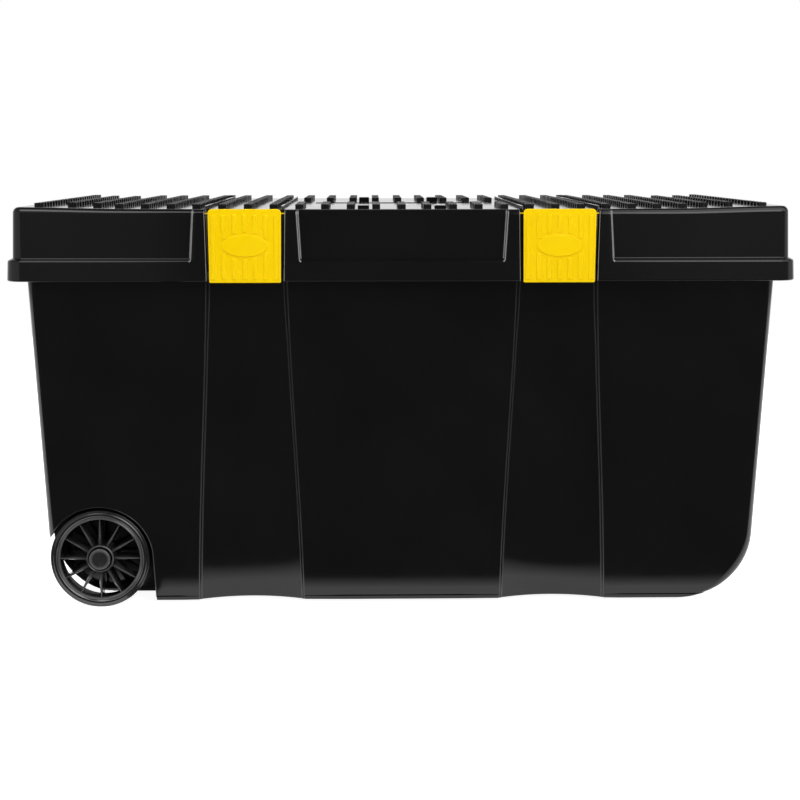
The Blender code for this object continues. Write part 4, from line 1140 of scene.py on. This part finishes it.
def add_spoke(bm, centre, side, angle, near, face):
    """A tapered wedge whose ridge faces out."""
    radial = Vector((math.sin(angle), 0, math.cos(angle)))
    across = Vector((math.cos(angle), 0, -math.sin(angle)))
    origin = Vector(centre)
    loops = []
    for radius, width, crest in SPOKE_SECTIONS:
        half = width / 2
        front = face - crest
        section = ((-half, front - 0.0026), (-half * 0.25, front - 0.0002),
                   (half * 0.25, front - 0.0002), (half, front - 0.0026),
                   (half, near + 0.011), (-half, near + 0.011))
        loops.append([bm.verts.new(origin + radial * radius + across * a
                                   + Vector((0, side * depth, 0))) for a, depth in section])
    join_loops(bm, loops)
    bm.faces.new(loops[0][::-1])
    bm.faces.new(loops[-1])


# Materials

class Shading:
    """The nodes of one material or world; its methods add nodes and return their outputs."""

    def __init__(self, owner):
        owner.use_nodes = True
        self.nodes, self.links = owner.node_tree.nodes, owner.node_tree.links

    def fill(self, node, inputs):
        """Link the inputs that are given a socket, and set the others."""
        for key, value in inputs.items():
            if isinstance(value, bpy.types.NodeSocket):
                self.links.new(value, node.inputs[key])
            else:
                node.inputs[key].default_value = value

    def add(self, kind, output, inputs, **settings):
        node = self.nodes.new("ShaderNode" + kind)
        for key, value in settings.items():
            setattr(node, key, value)
        self.fill(node, inputs)
        return node.outputs[output]

    def calc(self, operation, *values):
        """Values joined one after another by a Math operation."""
        result = values[0]
        for value in values[1:]:
            result = self.add("Math", "Value", {0: result, 1: value}, operation=operation)
        return result

    def span(self, source, low, high, start=0.35, stop=0.65, **settings):
        """Low to high while the source goes from start to stop."""
        return self.add("MapRange", "Result", {"Value": source, "From Min": start, "From Max": stop,
                                               "To Min": low, "To Max": high}, **settings)

    def noise(self, scale, detail):
        place = self.add("TexCoord", "Object", {})
        return self.add("TexNoise", "Fac", {"Vector": place, "Scale": scale, "Detail": detail})

    def mix(self, factor, one, two):
        return self.add("Mix", "Result", {"Factor": factor, "A": one, "B": two}, data_type="RGBA")

    def axes(self, kind):
        """The X, Y and Z of a kind of coordinate."""
        split = self.nodes.new("ShaderNodeSeparateXYZ")
        self.fill(split, {"Vector": self.add("TexCoord", kind, {})})
        return split.outputs

    def rays(self):
        """Which kind of ray sees the surface."""
        return self.nodes.new("ShaderNodeLightPath").outputs


def grey(value):
    return (value, value, value, 1)


def moulded_plastic(name, dark, light, edge, rough, specular, grain=900.0, bump=0.02):
    """Moulded plastic: cloudy tone, a painted highlight in the edge colour on the marked roundings,
    uneven gloss and a fine grain.
    """
    material = bpy.data.materials.new(name)
    shading = Shading(material)
    tone = shading.mix(shading.span(shading.noise(9.0, 4.0), 0.0, 1.0), (*dark, 1), (*light, 1))
    # The edge colour is a painted highlight, mixed in where the mask marks small roundings
    wear = shading.add("Attribute", "Fac", {}, attribute_name="wear")
    bumps = {"Strength": bump, "Distance": 0.0002, "Height": shading.noise(grain, 2.0)}
    shading.fill(shading.nodes["Principled BSDF"],
                 {"Base Color": shading.mix(wear, tone, (*edge, 1)),
                  "Roughness": shading.span(shading.noise(26.0, 5.0), *rough),
                  "Normal": shading.add("Bump", "Normal", bumps),
                  "Specular IOR Level": specular})
    return material


def zinc_steel():
    """Zinc-plated steel with fine turning marks."""
    material = bpy.data.materials.new("zinc_steel")
    shading = Shading(material)
    cloud = shading.noise(140.0, 3.0)
    shading.fill(shading.nodes["Principled BSDF"],
                 {"Base Color": shading.mix(cloud, (0.42, 0.43, 0.45, 1), (0.66, 0.66, 0.67, 1)),
                  "Roughness": shading.span(cloud, 0.24, 0.40), "Metallic": 1.0})
    return material


def paint(obj, material):
    """Give every material slot of an object the same material."""
    obj.data.materials.clear()
    obj.data.materials.append(material)


# Stage, light and camera; a span holds where a change starts and stops

FLOOR_GLOW = 0.93
FLOOR_DARK_Y = (-0.335, -0.285)
FLOOR_GLOOM = 0.10
FLOOR_WHEEL_MIDDLE = -0.330
FLOOR_WHEEL_REACH = (0.013, 0.018)
FRONT_MIDDLE = 0.016
FRONT_GLOOM = (0.09, 0.24)
FRONT_SPREAD = (0.128, 0.148)
LEFT_SIDE = (0.38, 0.50)
LEFT_LEVEL = 0.7
RIGHT_SIDE = (0.90, 0.99)
RIGHT_LEVEL = 0.9
BACK_SIDE = (0.1, 0.6)
BACK_LEVEL = 0.9
CEILING_SPAN = (0.30, 0.60)
CEILING = 0.30
LAMP_SPREAD = (0.10, 0.16)
LAMP_RISE = (0.12, 0.28)
LAMP_FRONT = (-0.1, 0.1)
LEFT_LAMP = 0.5
RIGHT_LAMP = 2.0
DIFFUSE_SHARE = 0.45


def make_stage():
    """A white floor that keeps a soft shadow; the trunk's front mirrors it as dark."""
    bm = bmesh.new()
    bmesh.ops.create_grid(bm, x_segments=2, y_segments=2, size=3.0)
    floor = object_from(bm, "floor")
    material = bpy.data.materials.new("floor_white")
    shading = Shading(material)
    shading.nodes.clear()
    rays = shading.rays()
    seen = shading.calc("MAXIMUM", rays["Is Camera Ray"], rays["Is Transmission Ray"],
                        rays["Is Glossy Ray"])
    matte = shading.add("BsdfDiffuse", "BSDF", {"Color": grey(0.80)})
    glow = shading.add("Emission", "Emission", {"Color": grey(1), "Strength":
                                                shading.calc("MULTIPLY", seen, FLOOR_GLOW)})
    pale = shading.add("AddShader", "Shader", {0: matte, 1: glow})
    x, y, _ = shading.axes("Object")
    ahead = shading.span(y, 1.0, 0.0, *FLOOR_DARK_Y)
    aside = shading.calc("ABSOLUTE", shading.calc("SUBTRACT", x, FLOOR_WHEEL_MIDDLE), 0.0)
    beside = shading.span(aside, 1.0, 0.0, *FLOOR_WHEEL_REACH)
    hidden = shading.calc("MULTIPLY", shading.calc("MAXIMUM", ahead, beside), rays["Is Glossy Ray"])
    gloom = shading.add("Emission", "Emission", {"Strength": FLOOR_GLOOM})
    surface = shading.add("MixShader", "Shader", {"Fac": hidden, 1: pale, 2: gloom})
    shading.fill(shading.nodes.new("ShaderNodeOutputMaterial"), {"Surface": surface})
    paint(floor, material)


def make_world():
    """White to the camera; what mirrors it sees dark in front and overhead, white behind."""
    world = bpy.data.worlds.new("studio")
    bpy.context.scene.world = world
    shading = Shading(world)
    shading.nodes.clear()
    x, y, z = shading.axes("Generated")
    aside = shading.calc("ABSOLUTE", shading.calc("SUBTRACT", x, FRONT_MIDDLE), 0.0)
    mirrored = shading.calc("MULTIPLY", x, -1.0)
    sides = shading.calc("MAXIMUM", shading.span(aside, *FRONT_GLOOM, *FRONT_SPREAD),
                         shading.span(x, 0.0, RIGHT_LEVEL, *RIGHT_SIDE),
                         shading.span(mirrored, 0.0, LEFT_LEVEL, *LEFT_SIDE),
                         shading.span(y, 0.0, BACK_LEVEL, *BACK_SIDE))
    above = shading.span(z, 1.0, CEILING, *CEILING_SPAN, interpolation_type="SMOOTHSTEP")
    lamps = shading.calc("MAXIMUM", shading.span(mirrored, 0.0, LEFT_LAMP, *LAMP_SPREAD),
                         shading.span(x, 0.0, RIGHT_LAMP, *LAMP_SPREAD))
    lamps = shading.calc("MULTIPLY", lamps, shading.span(z, 0.0, 1.0, *LAMP_RISE),
                         shading.span(y, 1.0, 0.0, *LAMP_FRONT))
    level = shading.calc("MAXIMUM", shading.calc("MULTIPLY", sides, above), lamps)
    rays = shading.rays()
    scattered = shading.calc("MULTIPLY", rays["Is Diffuse Ray"], DIFFUSE_SHARE - 1)
    level = shading.calc("MULTIPLY", level, shading.calc("ADD", scattered, 1.0))
    seen = shading.calc("MAXIMUM", rays["Is Camera Ray"], rays["Is Transmission Ray"])
    background = shading.add("Background", "Background", {"Color": grey(1), "Strength":
                                                          shading.calc("MAXIMUM", level, seen)})
    shading.fill(shading.nodes.new("ShaderNodeOutputWorld"), {"Surface": background})


def add_area(name, place, target, size, power, mirrored=False):
    """A soft box; only a mirrored one shows in the trunk's surface."""
    light = bpy.data.lights.new(name, "AREA")
    light.shape = "RECTANGLE"
    light.size, light.size_y = size
    light.energy = power
    obj = link(name, light)
    obj.location = place
    aim = Vector(target) - Vector(place)
    obj.rotation_euler = aim.to_track_quat("-Z", "Y").to_euler()
    obj.visible_camera = False
    obj.visible_glossy = mirrored


def make_lights():
    middle = (0.0, 0.0, 0.25)
    add_area("left_box", (-2.0, -1.9, 1.2), middle, (1.2, 1.6), 12)
    add_area("right_box", (2.0, -1.9, 1.2), middle, (1.2, 1.6), 12)
    add_area("top_box", (0.0, -0.5, 2.6), middle, (2.4, 1.4), 26)
    add_area("back_box", (0.0, 2.2, 1.9), middle, (2.6, 1.2), 12)
    add_area("right_low_box", (1.28, -2.96, 1.9), (0.35, -0.26, 0.45), (1.2, 2.2), 18, True)
    add_area("left_high_box", (-0.95, -1.46, 2.50), (-0.35, -0.26, 0.44), (1.0, 1.2), 14, True)


CAMERA_PLACE = (-0.0399, -2.2668, 0.564)
CAMERA_PITCH = math.radians(8.3465)
CAMERA_YAW = math.radians(1.0533)
CAMERA_ROLL = math.radians(-0.0238)
CAMERA_LENS = 74.25
CAMERA_SENSOR = 36


def make_camera():
    data = bpy.data.cameras.new("camera")
    data.lens = CAMERA_LENS
    data.sensor_width = CAMERA_SENSOR
    camera = link("camera", data)
    bpy.context.scene.camera = camera
    ahead = Vector((math.sin(CAMERA_YAW) * math.cos(CAMERA_PITCH),
                    math.cos(CAMERA_YAW) * math.cos(CAMERA_PITCH), -math.sin(CAMERA_PITCH)))
    right = Vector((math.cos(CAMERA_YAW), -math.sin(CAMERA_YAW), 0))
    up = right.cross(ahead)
    rolled_right = right * math.cos(CAMERA_ROLL) + up * math.sin(CAMERA_ROLL)
    rolled_up = up * math.cos(CAMERA_ROLL) - right * math.sin(CAMERA_ROLL)
    turn = Matrix((rolled_right, rolled_up, -ahead)).transposed()
    camera.matrix_world = Matrix.Translation(CAMERA_PLACE) @ turn.to_4x4()


# Painted edge highlights, shading normals and assembly

# Sizes of the small roundings that get a painted highlight, which stands in for the light lines their
# edges catch
HIGHLIGHT_WIDTH = 0.0007
WHEEL_HIGHLIGHT_WIDTH = 0.0011
HIGHLIGHT_BEND = 0.08
UPRIGHT_SHARE = 0.8
SHORTEST_EDGE = 1e-6


def mark_painted_highlights(mesh, wheel=False):
    """Mark the small roundings that get a painted highlight: a wheel's all round, the rest where
    upright.
    """
    widest = WHEEL_HIGHLIGHT_WIDTH if wheel else HIGHLIGHT_WIDTH
    bm = bmesh.new()
    bm.from_mesh(mesh)
    # Vertex mask of the painted highlight, which each plastic's edge colour reads
    wear = bm.verts.layers.float.new("wear")
    for edge in bm.edges:
        length = edge.calc_length()
        if len(edge.link_faces) != 2 or length < SHORTEST_EDGE:
            continue
        upright = wheel or abs(edge.verts[0].co.z - edge.verts[1].co.z) > UPRIGHT_SHARE * length
        areas = [face.calc_area() for face in edge.link_faces]
        small = (min(areas) if wheel else max(areas)) < widest * length
        if upright and small and edge.calc_face_angle(0.0) > HIGHLIGHT_BEND:
            for vert in edge.verts:
                vert[wear] = 1.0
    bm.to_mesh(mesh)
    bm.free()


def even_normals(obj):
    """Let the large faces keep their own direction, so only the roundings shade."""
    modifier = obj.modifiers.new("even", "WEIGHTED_NORMAL")
    modifier.weight = 100
    modifier.keep_sharp = True
    apply_modifiers(obj)


def place_pieces(pieces, body, slot, material):
    for piece in pieces:
        mark_painted_highlights(piece.data, slot == "wheel_plastic")
        even_normals(piece)
        paint(piece, material)
        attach(piece, body)


def build():
    # The third colour of each plastic is its painted highlight on the marked edges
    tub_black = moulded_plastic("tub_plastic", (0.0024, 0.0024, 0.0025), (0.0036, 0.0036, 0.0037),
                                (0.045, 0.045, 0.046), (0.08, 0.13), 0.40)
    lid_black = moulded_plastic("lid_plastic", (0.0030, 0.0030, 0.0031), (0.0042, 0.0042, 0.0044),
                                (0.24, 0.24, 0.245), (0.07, 0.11), 0.40)
    rib_black = moulded_plastic("rib_plastic", (0.0030, 0.0030, 0.0031), (0.0045, 0.0045, 0.0047),
                                (0.014, 0.014, 0.015), (0.24, 0.34), 0.45)
    # A darker, duller copy of the rib plastic: painted shade in the windows between the posts
    core_shade_black = moulded_plastic("rib_core", (0.0010, 0.0010, 0.0010), (0.0016, 0.0016, 0.0016),
                                 (0.002, 0.002, 0.002), (0.55, 0.65), 0.05)
    wheel_black = moulded_plastic("wheel_plastic", (0.012, 0.012, 0.012), (0.018, 0.018, 0.018),
                                  (0.070, 0.070, 0.070), (0.10, 0.18), 0.80, 700.0, 0.05)
    tyre_black = moulded_plastic("tyre", (0.008, 0.008, 0.008), (0.012, 0.012, 0.012),
                                 (0.02, 0.02, 0.02), (0.14, 0.22), 0.70, 600.0, 0.08)
    yellow = moulded_plastic("latch_plastic", (0.90, 0.605, 0.0008), (0.94, 0.640, 0.0016),
                             (0.96, 0.68, 0.008), (0.22, 0.30), 0.16, 800.0, 0.01)
    steel = zinc_steel()

    place_pieces((make_tub(), make_tub_knuckles(), make_feet(), make_arch_lips()),
                 "trunk", "tub_plastic", tub_black)
    place_pieces((make_lid(), make_lid_details(), make_lid_knuckles()), "lid", "lid_plastic", lid_black)
    place_pieces((make_ribs(),), "lid", "lid_plastic", rib_black)
    place_pieces((make_rib_cores(),), "lid", "lid_plastic", core_shade_black)
    for body, centre in (("latch_left", -LATCH_X), ("latch_right", LATCH_X)):
        latch = make_latch(body.replace("latch", "flap"), centre, body)
        place_pieces((latch,), body, "latch_plastic", yellow)
    for end_name, side in (("front", -1), ("back", 1)):
        tyre, wheel, cap = make_wheel(end_name, side)
        body = "wheel_" + end_name
        place_pieces((tyre,), body, "tyre", tyre_black)
        place_pieces((wheel, cap), body, "wheel_plastic", wheel_black)
    for name, node in frame["nodes"].items():
        if name.startswith(("axle", "hinge_pin", "washer", "push_nut")):
            paint(node, steel)


make_camera()
bpy.context.scene.view_settings.view_transform = "Standard"
make_stage()
make_world()
make_lights()
build()
